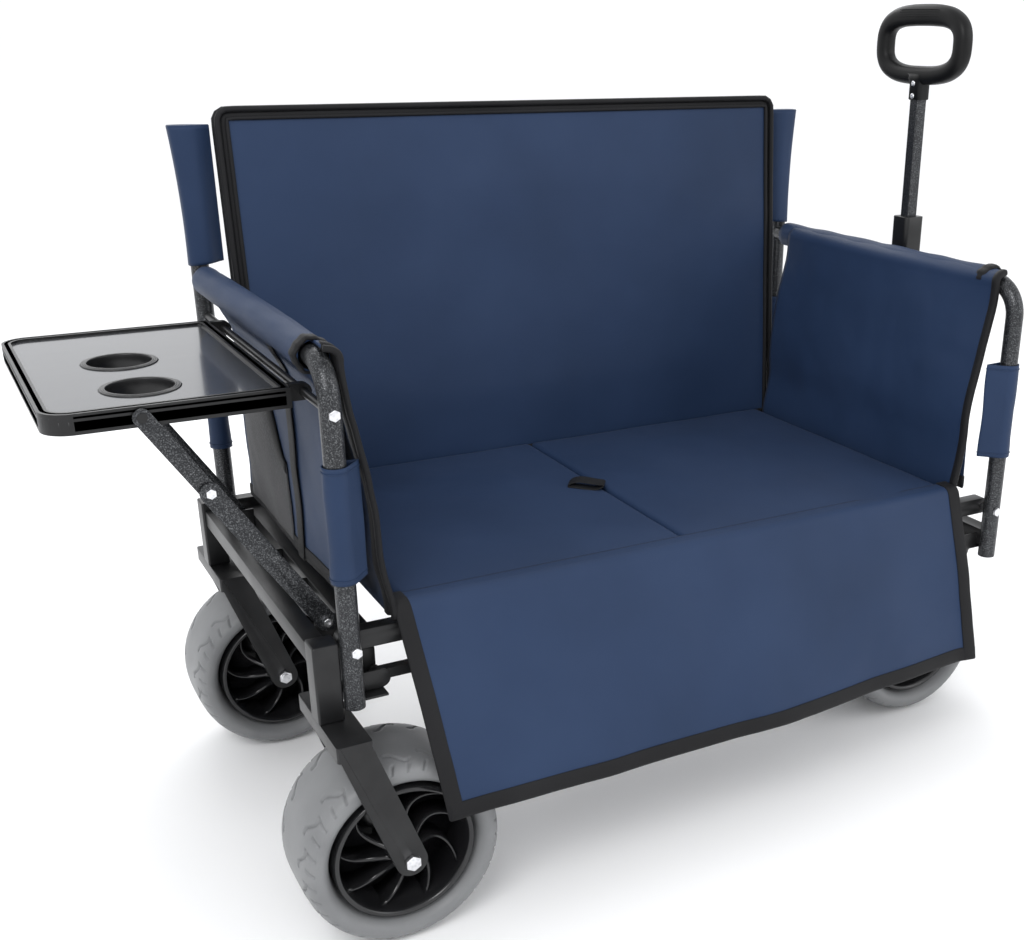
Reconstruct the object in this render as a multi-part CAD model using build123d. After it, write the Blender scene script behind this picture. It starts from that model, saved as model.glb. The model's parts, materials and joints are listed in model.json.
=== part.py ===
"""Folding beach cart that stands open as a two-seat bench.

Frame: +X towards the pull handle, +Y towards the backrest, +Z up, floor at z = 0.
The origin is on the floor, midway between the two end frames. Millimetres.
"""
from build123d import *

import math
import os

# ---- driving dimensions: end frames ----
POST_X = 500.0            # end post axis, from the middle of the cart
POST_Y = 293.0            # end post axis, from the centre plane
POST_D = 25.0
TUBE_WALL = 1.5
POST_BOTTOM = 320.0
ARM_Z = 730.0             # axis of the armrest tube
ARM_BEND = 45.0
BACK_POST_TOP = 932.0
END_RAIL = 24.0           # square section of the end rails
END_RAIL_Z = 382.0
OUTER_RAIL_X = POST_X + 29.0
INNER_RAIL_X = POST_X - 30.0
INNER_RAIL_END = POST_Y - 43.0
SPREADER_Y = 60.0
TIE_Z = 324.0             # plates from the posts in to the inner rail, below the lower links
BLOCK = 32.0
BLOCK_TOP = 405.0

# ---- driving dimensions: wheels ----
WHEEL_R = 127.0
TYRE_W = 128.0
TYRE_H = 37.0             # from bead to tread
BEAD_R = WHEEL_R - TYRE_H
TYRE_SHOULDER = 27.0      # rounding from the tread to the side
TYRE_BEAD = 6.0
RIM_W = TYRE_W - 16.0
RIM_WALL = 6.0
HUB_R = 20.0
HUB_W = TYRE_W - 6.0
SPOKES = 9
SPOKE_T = 5.0
SPOKE_W = 60.0
AXLE_D = 12.0
AXLE_FIT = 0.05
WHEEL_GAP = 4.0           # tyre to fork leg
LEG_T = 9.0
LEG_W = 40.0
FORK_TOP = 305.0
FORK_H = 20.0
FORK_W = 43.0
TRAIL = 58.0
LEFT_FORK_X = POST_X + 22.0
LEFT_TRACK = POST_Y - 15.0        # wheel centre from the centre plane, table end
RIGHT_TRACK = 119.0       # the same at the handle end: nests between the others when folded
STEER_X = POST_X + 43.0

# ---- driving dimensions: fold ----
RAIL_Y = POST_Y - 28.0
RAIL_W = 20.0
RAIL_H = 24.0
RAIL_Z = 395.0
RAIL_PIVOT_X = POST_X - 3.0
HUB_PIVOT_X = 45.0
LINK_DX = 35.0            # lower link pivot, inboard of the rail pivot
LINK_DZ = 53.0            # and below it
HUB_FOOT = 6.0            # hub plate past the lower pins
HUB_TIE_D = 18.0
LINK_D = 13.0
END_PLUG = 20.0           # solid ends of the seat rails, inboard of their pivots
PLATE_T = 3.0
PIN_D = 8.0
PIN_FIT = 0.05
OPEN_FIT = 0.4            # clearance at the pivots that close a loop
SIDE_GAP = 1.0

# ---- driving dimensions: small fittings ----
BLOCK_ROUND = 3.0
FORK_ROUND = 4.0
AXLE_END = 8.0            # axle past the far fork leg
NUT_T = 7.0
NUT_R = 0.85              # corner radius of a nut or head, as a share of the bolt's diameter
HEAD_T = 0.55             # its thickness, likewise
PIN_END = 4.0             # rail pins past the rail
LINK_PIN_END = 3.0
BRACKET_W = 24.0
CLEVIS_HALF = 15.0
CLEVIS_BASE_T = 6.0
BEAM_PAST_TRACK = 30.0

# ---- driving dimensions: seat ----
SEAT_TOP = 433.0
BOARD_T = 5.0
BOARD_GAP = 0.5
BOARD_OUT = POST_X - 100.0
PAD_OUT = POST_X - 62.0
SPLIT_X = -24.0           # centre seam, where the two seat halves part
PAD_IN = 3.0              # from the seam to either half
SEAT_FRONT = -277.0
SEAT_BACK = 235.0
PAD_ROUND = 20.0          # along the pad's outer top edge, to clear the table's braces
BACK_T = 20.0
BACK_HALF = POST_X - 37.0
BACK_TOP = 962.0
BACK_TOP_Y = 273.0
SKIRT_T = 4.0
SKIRT_HALF = POST_X - 59.0
SKIRT_LOW_HALF = POST_X - 70.0
SKIRT_LOW = 184.0
SKIRT_LOW_Y = -372.0
SKIRT_TOP_Y = -281.0
SOFT_GAP = 1.0
LOOP_X = (-60.0, -30.0)   # pull loop: centres of its two round ends
LOOP_Y = (-24.0, 0.0)
LOOP_H = 16.0
LOOP_T = 2.2
LOOP_LIFT = 0.2

# ---- driving dimensions: end fabric ----
ROLL_R = 19.5
ROLL_FRONT = -244.0
ROLL_BACK = 262.0
PANEL_T = 5.0
PANEL_X = POST_X - 45.0
PANEL_LOW = 415.0
PANEL_HIGH = 712.0
PANEL_FRONT = -250.0
ARM_PANEL_FRONT = -270.0
PANEL_BACK = 228.0
POCKET_X = POST_X - 26.0
POCKET_T = 4.0
POCKET_LOW = 420.0
POCKET_HIGH = 640.0
SLEEVE_T = 1.6
SLEEVE_LOW = 480.0
SLEEVE_HIGH = 618.0
WING_LOW = 750.0
WING_HIGH = 935.0
WING_T = 2.0
WING_IN_X = POST_X - 35.0         # wings run from the backrest's edge out past the post
WING_OUT_LOW_X = POST_X + 15.0
WING_OUT_HIGH_X = POST_X + 22.0
FLAP_X = POST_X - 29.0            # front sleeves are drawn in to this edge beside the side panels
FLAP_Y = 10.0 - POST_Y

# ---- driving dimensions: side table ----
TABLE_TOP = 687.0
TABLE_T = 23.0
TABLE_HALF = 205.0
TABLE_IN = POST_X + 17.0
TABLE_OUT = POST_X + 278.0
TABLE_CORNER = 32.0
TABLE_RIM = 11.0
RIM_LIP = 3.0
INSET_T = 6.0
CUP_X = POST_X + 162.0
CUP_YS = (-112.0, 22.0)
CUP_R = 37.0
CUP_RING_R = 45.0
CUP_WALL = 3.0
CUP_DEPTH = 32.0
HINGE_X = POST_X
HINGE_Z = 678.0
HINGE_D = 10.0
HINGE_SEAT = 6.0          # how far the hinge rod goes into each post
LUG_Y = 188.0
LUG_T = 10.0
BRACE_PIN_X = POST_X + 179.0
BRACE_PIN_Z = 675.0
BRACE_FOOT_X = POST_X + 2.0
BRACE_FOOT_Z = 398.0
TABLE_FOLD = 80.0         # degrees the table drops
BRACE_T = 3.0
UPPER_BRACE_W = 20.0
LOWER_BRACE_W = 24.0
BRACE_PIN_D = 7.0
HEAD_FIT = 0.3            # under the heads of bolts that a brace turns on

# ---- driving dimensions: steering and handle ----
HEAD_R = 17.0
KINGPIN_D = 18.0
HEAD_LOW = 311.0
HEAD_HIGH = 368.0
HEAD_GAP = 1.0
HEAD_PLATE_T = 6.0
BEAM_H = 20.0
BEAM_W = 30.0
CROSS_RAIL_Z = 350.0
CLEVIS_T = 5.0
TILT_Z = 404.0
OUTER_TUBE = 24.0
OUTER_WALL = 2.4
INNER_FIT = 0.3
TUBE_ROUND = 2.5
OUTER_TOP = 738.0
COLLAR = 36.0
COLLAR_ROUND = 7.0
COLLAR_LOW = 734.0
COLLAR_HIGH = 790.0
FOOT_PLUG = 14.0          # solid foot inside the outer tube
SLIDE_IN = 170.0          # the inner tube goes this far down from where it stands
SLIDE_STOP = 4.0
GRIP_COLLAR = 25.0
GRIP_COLLAR_LOW = 964.0
SOCKET_H = 30.0           # how far the inner tube goes up into the grip
GRIP_Z = 1043.0           # centre of the grip loop
GRIP_HALF_Y = 100.0
GRIP_HALF_Z = 57.0
GRIP_TUBE_R = 13.5
CLIP_R = 17.5
CLIP_T = 5.0
CLIP_LOW = 708.0
CLIP_HIGH = 731.0

nodes = {}


def block(x0, x1, y0, y1, z0, z1):
    """A box between two corners."""
    size = (abs(x1 - x0), abs(y1 - y0), abs(z1 - z0))
    return Pos((x0 + x1) / 2, (y0 + y1) / 2, (z0 + z1) / 2) * Box(*size)


def rod(start, end, radius):
    """A cylinder between two points."""
    start, end = Vector(*start), Vector(*end)
    reach = end - start
    centre = Plane(origin=(start + end) / 2, z_dir=reach)
    return centre * Cylinder(radius, reach.length)


def rod_y(x, z, y0, y1, radius):
    return rod((x, y0, z), (x, y1, z), radius)


def plate_y(outline, y0, y1):
    """A flat plate in the XZ plane, given its outline and its two faces."""
    low = min(y0, y1)
    face = make_face(Polyline(*[(x, low, z) for x, z in outline], close=True))
    return extrude(face, amount=abs(y1 - y0), dir=(0, 1, 0))


def strap(a, b, width, y0, y1):
    """A flat bar with round ends, between two pivots in the XZ plane."""
    dx, dz = b[0] - a[0], b[1] - a[1]
    reach = math.hypot(dx, dz)
    nx, nz = -dz / reach * width / 2, dx / reach * width / 2
    corners = [(a[0] + nx, a[1] + nz), (b[0] + nx, b[1] + nz), (b[0] - nx, b[1] - nz), (a[0] - nx, a[1] - nz)]
    body = plate_y(corners, y0, y1)
    body += rod_y(a[0], a[1], y0, y1, width / 2)
    body += rod_y(b[0], b[1], y0, y1, width / 2)
    return body


def hole_y(x, z, diameter):
    return rod_y(x, z, -2 * POST_Y, 2 * POST_Y, diameter / 2)


def bolt_y(x, z, y_head, y_end, diameter):
    """A hexagon bolt along Y with its head outside y_head."""
    side = 1 if y_head > y_end else -1
    shank = rod_y(x, z, y_head, y_end, diameter / 2)
    head_plane = Plane(origin=(x, y_head, z), z_dir=(0, side, 0))
    head = extrude(head_plane * RegularPolygon(diameter * NUT_R, 6), amount=diameter * HEAD_T)
    return shank + head


def both_sides(shape):
    """The shape and its mirror image across the centre plane Y = 0."""
    return [shape, mirror(shape, about=Plane.XZ)]


def keep(name, *shapes):
    solids = []
    for shape in shapes:
        solids.extend(shape.solids())
    nodes[name] = solids


# ---- end frames ----
def arm_tube(side):
    """Front post, bend and armrest tube in one length of tube, butted on the back post."""
    x = side * POST_X
    corner = [(x, -POST_Y, POST_BOTTOM), (x, -POST_Y, ARM_Z), (x, POST_Y, ARM_Z)]
    path = FilletPolyline(*corner, radius=ARM_BEND)
    start = Plane(origin=corner[0], z_dir=(0, 0, 1))
    outer = sweep(start * Circle(POST_D / 2), path=path)
    inner = sweep(start * Circle(POST_D / 2 - TUBE_WALL), path=path)
    back_post = rod((x, POST_Y, POST_BOTTOM), (x, POST_Y, BACK_POST_TOP), POST_D / 2)
    past_post = block(x - POST_D, x + POST_D, POST_Y, POST_Y + POST_D, ARM_Z - POST_D, ARM_Z + POST_D)
    return outer - inner - back_post - past_post


def back_post(side):
    foot = (side * POST_X, POST_Y, POST_BOTTOM)
    top = (side * POST_X, POST_Y, BACK_POST_TOP)
    under_cap = (top[0], top[1], BACK_POST_TOP - TUBE_WALL)
    return rod(foot, top, POST_D / 2) - rod(foot, under_cap, POST_D / 2 - TUBE_WALL)


def cope(shape, side):
    """Cut the posts' round outlines out of whatever is welded to them."""
    for y in (-POST_Y, POST_Y):
        shape -= rod((side * POST_X, y, POST_BOTTOM - 50), (side * POST_X, y, ARM_Z), POST_D / 2)
    return shape


def square_rail_y(x, z, half_length, size):
    outer = block(x - size / 2, x + size / 2, -half_length, half_length, z - size / 2, z + size / 2)
    bore = size / 2 - TUBE_WALL
    return outer - block(x - bore, x + bore, -half_length - 1, half_length + 1, z - bore, z + bore)


def link_bracket(side):
    """Plate on the post that carries the lower link's pivot, at the front."""
    x = side * (RAIL_PIVOT_X - LINK_DX)
    z = RAIL_Z - LINK_DZ
    face = -(POST_Y - POST_D / 2)
    post = side * POST_X
    plate = strap((post, z), (x, z), BRACKET_W, face, face + PLATE_T)
    plate += rod_y(x, z, face + PLATE_T, -RAIL_Y + LINK_D / 2 + LINK_PIN_END, PIN_D / 2)
    collar = -RAIL_Y + LINK_D / 2 + SIDE_GAP
    return plate + rod_y(x, z, collar, collar + PIN_END, PIN_D * NUT_R)


def left_end():
    keep("left_arm_tube", arm_tube(-1))
    keep("left_back_post", back_post(-1))
    inner_face = BLOCK / 2
    outer_rail = square_rail_y(-OUTER_RAIL_X, END_RAIL_Z, LEFT_TRACK - inner_face, END_RAIL)
    inner_rail = square_rail_y(-INNER_RAIL_X, END_RAIL_Z, INNER_RAIL_END, END_RAIL)
    keep("left_end_rails", outer_rail, inner_rail)

    # cross plates between the two end rails; the outer pair carries the table braces
    x_out = -OUTER_RAIL_X + END_RAIL / 2
    x_in = -INNER_RAIL_X - END_RAIL / 2
    half = END_RAIL / 2
    anchor_y = brace_anchor_y()
    anchor = block(x_out, x_in, -anchor_y, -anchor_y + PLATE_T, END_RAIL_Z - half, BRACE_FOOT_Z + BRACE_PIN_D)
    anchor -= hole_y(-BRACE_FOOT_X, BRACE_FOOT_Z, BRACE_PIN_D)
    spreader = block(x_out, x_in, -SPREADER_Y, -SPREADER_Y + PLATE_T, END_RAIL_Z - half, END_RAIL_Z + half)
    plates = both_sides(anchor) + both_sides(spreader)
    plates.extend(both_sides(link_bracket(-1)))
    # ties from the posts back to the inner rail, clear below the seat rails
    x_edge = -INNER_RAIL_X + half
    strut_y = -INNER_RAIL_END + half
    tie = block(-POST_X, x_edge, -POST_Y, strut_y, TIE_Z, TIE_Z + PLATE_T)
    strut = block(x_in, x_edge, -INNER_RAIL_END, strut_y, TIE_Z + PLATE_T, END_RAIL_Z - half)
    plates.extend(both_sides(cope(tie + strut, -1)))
    keep("left_brackets", *plates)

    corner = block(
        -OUTER_RAIL_X - BLOCK / 2, -OUTER_RAIL_X + BLOCK / 2,
        -LEFT_TRACK - BLOCK / 2, -LEFT_TRACK + BLOCK / 2, FORK_TOP, BLOCK_TOP,
    )
    corner = fillet(corner.edges().filter_by(Axis.Z), BLOCK_ROUND)
    keep("left_blocks", *both_sides(cope(corner, -1)))
    fork = wheel_fork(-LEFT_FORK_X, -LEFT_TRACK, 1)
    keep("left_forks", *both_sides(fork))
    keep("left_axles", *both_sides(axle(-LEFT_FORK_X + TRAIL, -LEFT_TRACK)))

    bolts = []
    outside = -POST_Y - POST_D / 2
    pin_end = -RAIL_Y + RAIL_W / 2 + PIN_END
    bolts.append(bolt_y(-RAIL_PIVOT_X, RAIL_Z, outside, pin_end, PIN_D))
    bolts.append(bolt_y(-RAIL_PIVOT_X, RAIL_Z, -outside, -pin_end, PIN_D))
    rod_end = -(POST_Y - POST_D / 2 + HINGE_SEAT)
    hinge_bolt = bolt_y(-HINGE_X, HINGE_Z, outside, rod_end, PIN_D)
    bolts.extend(both_sides(hinge_bolt))
    foot, _, _, _, _, _ = fold_points()
    anchor = brace_anchor_y() - PLATE_T
    head_face = brace_plane()[1] + BRACE_T + HEAD_FIT
    foot_bolt = bolt_y(foot[0], foot[1], -head_face, -anchor, BRACE_PIN_D)
    bolts.extend(both_sides(foot_bolt))
    keep("left_bolts", *bolts)
    for name in ("left_arm_tube", "left_back_post"):
        rail_hole = hole_y(-RAIL_PIVOT_X, RAIL_Z, PIN_D)
        bolt_hole = hole_y(-HINGE_X, HINGE_Z, PIN_D)
        nodes[name] = (nodes[name][0] - rail_hole - bolt_hole).solids()

    hinge = rod_y(-HINGE_X, HINGE_Z, rod_end, -rod_end, HINGE_D / 2)
    keep("table_hinge_rod", hinge)
    for name in ("left_arm_tube", "left_back_post"):
        nodes[name] = (nodes[name][0] - hinge).solids()
    end_fabric(-1, "left")


def right_end():
    keep("right_arm_tube", arm_tube(1))
    keep("right_back_post", back_post(1))
    rail = square_rail_y(POST_X, CROSS_RAIL_Z, POST_Y, END_RAIL)
    keep("right_cross_rail", cope(rail, 1), *both_sides(link_bracket(1)))

    # steering head: tube on two plates that reach out from the cross rail
    head = rod((STEER_X, 0, HEAD_LOW), (STEER_X, 0, HEAD_HIGH), HEAD_R)
    rail_face = POST_X + END_RAIL / 2
    for z in (CROSS_RAIL_Z + END_RAIL / 2 - HEAD_PLATE_T, CROSS_RAIL_Z - END_RAIL / 2):
        head += block(rail_face, STEER_X, -HEAD_R, HEAD_R, z, z + HEAD_PLATE_T)
    head -= rod((STEER_X, 0, HEAD_LOW - 1), (STEER_X, 0, HEAD_HIGH + 1), KINGPIN_D / 2 + AXLE_FIT)
    keep("steering_head", head)

    bolts = []
    outside = -POST_Y - POST_D / 2
    pin_end = -RAIL_Y + RAIL_W / 2 + PIN_END
    bolts.append(bolt_y(RAIL_PIVOT_X, RAIL_Z, outside, pin_end, PIN_D))
    bolts.append(bolt_y(RAIL_PIVOT_X, RAIL_Z, -outside, -pin_end, PIN_D))
    keep("right_bolts", *bolts)
    for name in ("right_arm_tube", "right_back_post"):
        nodes[name] = (nodes[name][0] - hole_y(RAIL_PIVOT_X, RAIL_Z, PIN_D)).solids()

    # cradle on the armrest tube that holds the handle upright, open towards +X
    wall = CLIP_R + CLIP_T
    clip = block(POST_X, STEER_X + CLIP_R * 0.7, -wall, wall, CLIP_LOW, CLIP_HIGH)
    clip -= rod((STEER_X, 0, CLIP_LOW - 1), (STEER_X, 0, CLIP_HIGH + 1), CLIP_R)
    clip -= block(STEER_X, STEER_X + 2 * CLIP_R, -CLIP_R, CLIP_R, CLIP_LOW - 1, CLIP_HIGH + 1)
    clip -= rod_y(POST_X, ARM_Z, -POST_Y, POST_Y, ROLL_R + SOFT_GAP)
    keep("handle_clip", clip)
    end_fabric(1, "right")


# ---- end fabric: armrest rolls, inner panels, pocket panels and post sleeves ----
def sleeve_flap(post, edge):
    """Flat part of a front sleeve, from the post to its sewn edge in plan."""
    dx, dy = edge[0] - post[0], edge[1] - post[1]
    reach = math.hypot(dx, dy)
    nx, ny = -dy / reach * SLEEVE_T, dx / reach * SLEEVE_T
    corners = [
        (post[0] + nx, post[1] + ny, SLEEVE_LOW), (edge[0] + nx, edge[1] + ny, SLEEVE_LOW),
        (edge[0] - nx, edge[1] - ny, SLEEVE_LOW), (post[0] - nx, post[1] - ny, SLEEVE_LOW),
    ]
    face = make_face(Polyline(*corners, close=True))
    return extrude(face, amount=SLEEVE_HIGH - SLEEVE_LOW, dir=(0, 0, 1))


def end_fabric(side, name):
    x = side * POST_X
    tube = POST_D / 2
    roll = rod_y(x, ARM_Z, ROLL_FRONT, ROLL_BACK, ROLL_R)
    roll -= rod_y(x, ARM_Z, ROLL_FRONT - 1, ROLL_BACK + 1, tube)
    keep(name + "_arm_roll", roll)
    inner, outer = side * PANEL_X, side * (PANEL_X + PANEL_T)
    keep(name + "_arm_panel", block(inner, outer, ARM_PANEL_FRONT, PANEL_BACK, PANEL_LOW, PANEL_HIGH))
    inner, outer = side * POCKET_X, side * (POCKET_X + POCKET_T)
    keep(name + "_end_panel", block(inner, outer, PANEL_FRONT, PANEL_BACK, POCKET_LOW, POCKET_HIGH))

    sleeves = []
    for y in (-POST_Y, POST_Y):
        low = rod((x, y, SLEEVE_LOW), (x, y, SLEEVE_HIGH), tube + SLEEVE_T)
        if y < 0:
            low += sleeve_flap((x, y), (side * FLAP_X, FLAP_Y))
        sleeves.append(low - rod((x, y, SLEEVE_LOW - 1), (x, y, SLEEVE_HIGH + 1), tube))
    outline = [
        (side * WING_IN_X, WING_LOW), (side * WING_OUT_LOW_X, WING_LOW),
        (side * WING_OUT_HIGH_X, WING_HIGH), (side * WING_IN_X, WING_HIGH),
    ]
    wing = plate_y(outline, POST_Y - tube - WING_T, POST_Y + tube + WING_T)
    sleeves.append(wing - rod((x, POST_Y, WING_LOW - 1), (x, POST_Y, BACK_POST_TOP), tube))
    keep(name + "_sleeves", *sleeves)


# ---- wheels ----
def wheel_fork(x, y, rake):
    """Inverted U over the wheel; its legs lean by the trail in the direction of rake."""
    inside = TYRE_W / 2 + WHEEL_GAP
    outside = inside + LEG_T
    top = block(x - FORK_W / 2, x + FORK_W / 2, y - outside, y + outside, FORK_TOP - FORK_H, FORK_TOP)
    top = fillet(top.edges().filter_by(Axis.Z), FORK_ROUND)
    hub = (x + rake * TRAIL, WHEEL_R)
    shoulder = (x, FORK_TOP - FORK_H / 2)
    leg = strap(shoulder, hub, LEG_W, y - outside, y - inside)
    above = block(x - 2 * LEG_W, x + 2 * LEG_W, y - outside, y - inside, FORK_TOP, FORK_TOP + LEG_W)
    leg -= above
    fork = top + leg + Pos(0, inside + outside, 0) * leg
    return fork - rod_y(hub[0], hub[1], y - outside - 1, y + outside + 1, AXLE_D / 2)


def axle(x, y):
    """Bolt through both fork legs, with a spacer ring and nut at each side."""
    outside = TYRE_W / 2 + WHEEL_GAP + LEG_T
    inside = TYRE_W / 2 + WHEEL_GAP
    body = bolt_y(x, WHEEL_R, y - outside, y + outside + AXLE_END, AXLE_D)
    nut_plane = Plane(origin=(x, y + outside, WHEEL_R), z_dir=(0, 1, 0))
    return body + extrude(nut_plane * RegularPolygon(AXLE_D * NUT_R, 6), amount=NUT_T)


def wheel(name, x, y):
    half = TYRE_W / 2
    outline = Pos((WHEEL_R + BEAD_R) / 2, 0) * Rectangle(WHEEL_R - BEAD_R, TYRE_W)
    tread = [v for v in outline.vertices() if v.X > (WHEEL_R + BEAD_R) / 2]
    outline = fillet(tread, TYRE_SHOULDER)
    bead = [v for v in outline.vertices() if v.X < BEAD_R + 0.1]
    outline = fillet(bead, TYRE_BEAD)
    spin = Plane(origin=(x, y, WHEEL_R), x_dir=(1, 0, 0), z_dir=(0, 0, 1))
    tyre = revolve(spin * outline, axis=Axis((x, y, WHEEL_R), (0, 1, 0)))
    keep(name + "_tyre", tyre)

    rim = rod_y(x, WHEEL_R, y - RIM_W / 2, y + RIM_W / 2, BEAD_R)
    rim -= rod_y(x, WHEEL_R, y - RIM_W, y + RIM_W, BEAD_R - RIM_WALL)
    rim += rod_y(x, WHEEL_R, y - HUB_W / 2, y + HUB_W / 2, HUB_R)
    for i in range(SPOKES):
        spoke = block(0, BEAD_R - RIM_WALL / 2, -SPOKE_W / 2, SPOKE_W / 2, -SPOKE_T / 2, SPOKE_T / 2)
        rim += Pos(x, y, WHEEL_R) * Rot(0, 360 / SPOKES * i, 0) * spoke
    rim -= rod_y(x, WHEEL_R, y - half, y + half, AXLE_D / 2 + AXLE_FIT)
    keep(name + "_rim", rim)


# ---- fold: rails, links and the centre hub ----
def seat_rail(side):
    a = (side * RAIL_PIVOT_X, RAIL_Z)
    b = (side * HUB_PIVOT_X, RAIL_Z)
    rail = strap(a, b, RAIL_H, -RAIL_Y - RAIL_W / 2, -RAIL_Y + RAIL_W / 2)
    bore_y = RAIL_W / 2 - TUBE_WALL
    bore_z = RAIL_H / 2 - TUBE_WALL
    rail -= block(
        a[0] - side * END_PLUG, b[0] + side * END_PLUG,
        -RAIL_Y - bore_y, -RAIL_Y + bore_y, RAIL_Z - bore_z, RAIL_Z + bore_z,
    )
    rail -= hole_y(a[0], a[1], PIN_D + 2 * PIN_FIT)
    return rail - hole_y(b[0], b[1], PIN_D + 2 * PIN_FIT)


def lower_link(side):
    """Thin bar below the rail; with it the hub and both ends stay upright."""
    z = RAIL_Z - LINK_DZ
    a = (side * (RAIL_PIVOT_X - LINK_DX), z)
    b = (side * (HUB_PIVOT_X - LINK_DX), z)
    link = strap(a, b, LINK_D, -RAIL_Y - LINK_D / 2, -RAIL_Y + LINK_D / 2)
    link_true, link_open = (a, b) if side < 0 else (b, a)
    link -= hole_y(link_true[0], link_true[1], PIN_D + 2 * PIN_FIT)
    return link - hole_y(link_open[0], link_open[1], PIN_D + 2 * OPEN_FIT)


def seat_half(side, name):
    rail_top = RAIL_Z + RAIL_H / 2
    keep(name + "_rails", *both_sides(seat_rail(side)))
    board_low = rail_top
    board_top = board_low + BOARD_T
    inner = SPLIT_X + side * PAD_IN
    board = block(inner, side * BOARD_OUT, SEAT_FRONT + 6, SEAT_BACK, board_low, board_top)
    back_rail = block(inner, side * BOARD_OUT, SEAT_BACK - 1, RAIL_Y + RAIL_W / 2, board_low, board_top)
    keep(name + "_seat_board", board + back_rail)
    pad = block(inner, side * PAD_OUT, SEAT_FRONT, SEAT_BACK - SOFT_GAP, board_top, SEAT_TOP)
    outer_top = pad.edges().filter_by(Axis.Y).group_by(Axis.Z)[-1].sort_by(Axis.X)[-1 if side > 0 else 0]
    keep(name + "_seat_pad", fillet(outer_top, PAD_ROUND))


def hub():
    """Two pairs of plates that the four rails and four links hinge on, tied across."""
    z = RAIL_Z - LINK_DZ
    x_low = HUB_PIVOT_X - LINK_DX
    round_r = RAIL_H / 2 - SIDE_GAP
    plates = []
    gap = RAIL_W / 2 + SIDE_GAP
    for y in (-RAIL_Y - gap - PLATE_T, -RAIL_Y + gap):
        plate = strap((-HUB_PIVOT_X, RAIL_Z), (HUB_PIVOT_X, RAIL_Z), 2 * round_r, y, y + PLATE_T)
        half_top = HUB_PIVOT_X
        half_low = x_low + HUB_FOOT
        high, low = RAIL_Z - HUB_FOOT, z - HUB_FOOT - 4
        lower = [(-half_top, high), (half_top, high), (half_low, low), (-half_low, low)]
        plate += plate_y(lower, y, y + PLATE_T)
        for x in (-HUB_PIVOT_X, HUB_PIVOT_X):
            plate -= hole_y(x, RAIL_Z, PIN_D)
        for x in (-x_low, x_low):
            plate -= hole_y(x, z, PIN_D)
        plates.extend(both_sides(plate))
    inner_face = RAIL_Y - gap - PLATE_T
    tie_z = (RAIL_Z + z) / 2 - 2
    tie = rod_y(0, tie_z, -inner_face, inner_face, HUB_TIE_D / 2)
    tie -= rod_y(0, tie_z, -inner_face - 1, inner_face + 1, HUB_TIE_D / 2 - TUBE_WALL)
    keep("hub_frame", *plates, tie)
    pins = []
    reach = gap + PLATE_T
    for x, pz in ((-HUB_PIVOT_X, RAIL_Z), (HUB_PIVOT_X, RAIL_Z), (-x_low, z), (x_low, z)):
        pin = bolt_y(x, pz, -RAIL_Y - reach, -RAIL_Y + reach + 2, PIN_D)
        pins.extend(both_sides(pin))
    keep("hub_pins", *pins)


def pull_loop():
    """Webbing loop at the seat's centre seam, pulled up to fold the cart."""
    middle = SEAT_TOP + LOOP_LIFT + LOOP_H / 2
    a, b = (LOOP_X[0], middle), (LOOP_X[1], middle)
    outer = strap(a, b, LOOP_H, *LOOP_Y)
    inner = strap(a, b, LOOP_H - 2 * LOOP_T, LOOP_Y[0] - 1, LOOP_Y[1] + 1)
    keep("pull_loop", outer - inner)


# ---- backrest and skirt ----
def backrest():
    low = SEAT_TOP - 18.0
    top_y = BACK_TOP_Y
    outline = [(SEAT_BACK, low), (SEAT_BACK + BACK_T, low), (top_y + BACK_T, BACK_TOP), (top_y, BACK_TOP)]
    face = make_face(Polyline(*[(-BACK_HALF, y, z) for y, z in outline], close=True))
    keep("backrest", extrude(face, amount=2 * BACK_HALF, dir=(1, 0, 0)))


def skirt():
    t = SKIRT_T / 2
    top = [(-SKIRT_HALF, SKIRT_TOP_Y, SEAT_TOP - 2), (SKIRT_HALF, SKIRT_TOP_Y, SEAT_TOP - 2)]
    low = [(SKIRT_LOW_HALF, SKIRT_LOW_Y, SKIRT_LOW), (-SKIRT_LOW_HALF, SKIRT_LOW_Y, SKIRT_LOW)]
    face = make_face(Polyline(*(top + low), close=True))
    keep("skirt", thicken(face, amount=t, both=True))


# ---- side table ----
def brace_plane():
    """Y of the outer face of the table, of the upper brace and of the lower brace."""
    upper = TABLE_HALF + 2.0
    lower = upper + BRACE_T + SIDE_GAP
    return upper, lower


def brace_anchor_y():
    return brace_plane()[1] - SIDE_GAP


def fold_points():
    """Brace lengths for which the knee is straight when open and folded flat when down."""
    turn = math.radians(TABLE_FOLD)
    vx, vz = HINGE_X - BRACE_PIN_X, BRACE_PIN_Z - HINGE_Z
    down_x = vx * math.cos(turn) - vz * math.sin(turn)
    down_z = vx * math.sin(turn) + vz * math.cos(turn)
    foot = (-BRACE_FOOT_X, BRACE_FOOT_Z)
    pin = (-BRACE_PIN_X, BRACE_PIN_Z)
    pin_down = (-HINGE_X + down_x, HINGE_Z + down_z)
    open_reach = math.dist(foot, pin)
    down_reach = math.dist(foot, pin_down)
    upper = (open_reach - down_reach) / 2
    lower = open_reach - upper
    share = lower / open_reach
    knee = (foot[0] + (pin[0] - foot[0]) * share, foot[1] + (pin[1] - foot[1]) * share)
    return foot, knee, pin, pin_down, upper, lower


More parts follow.
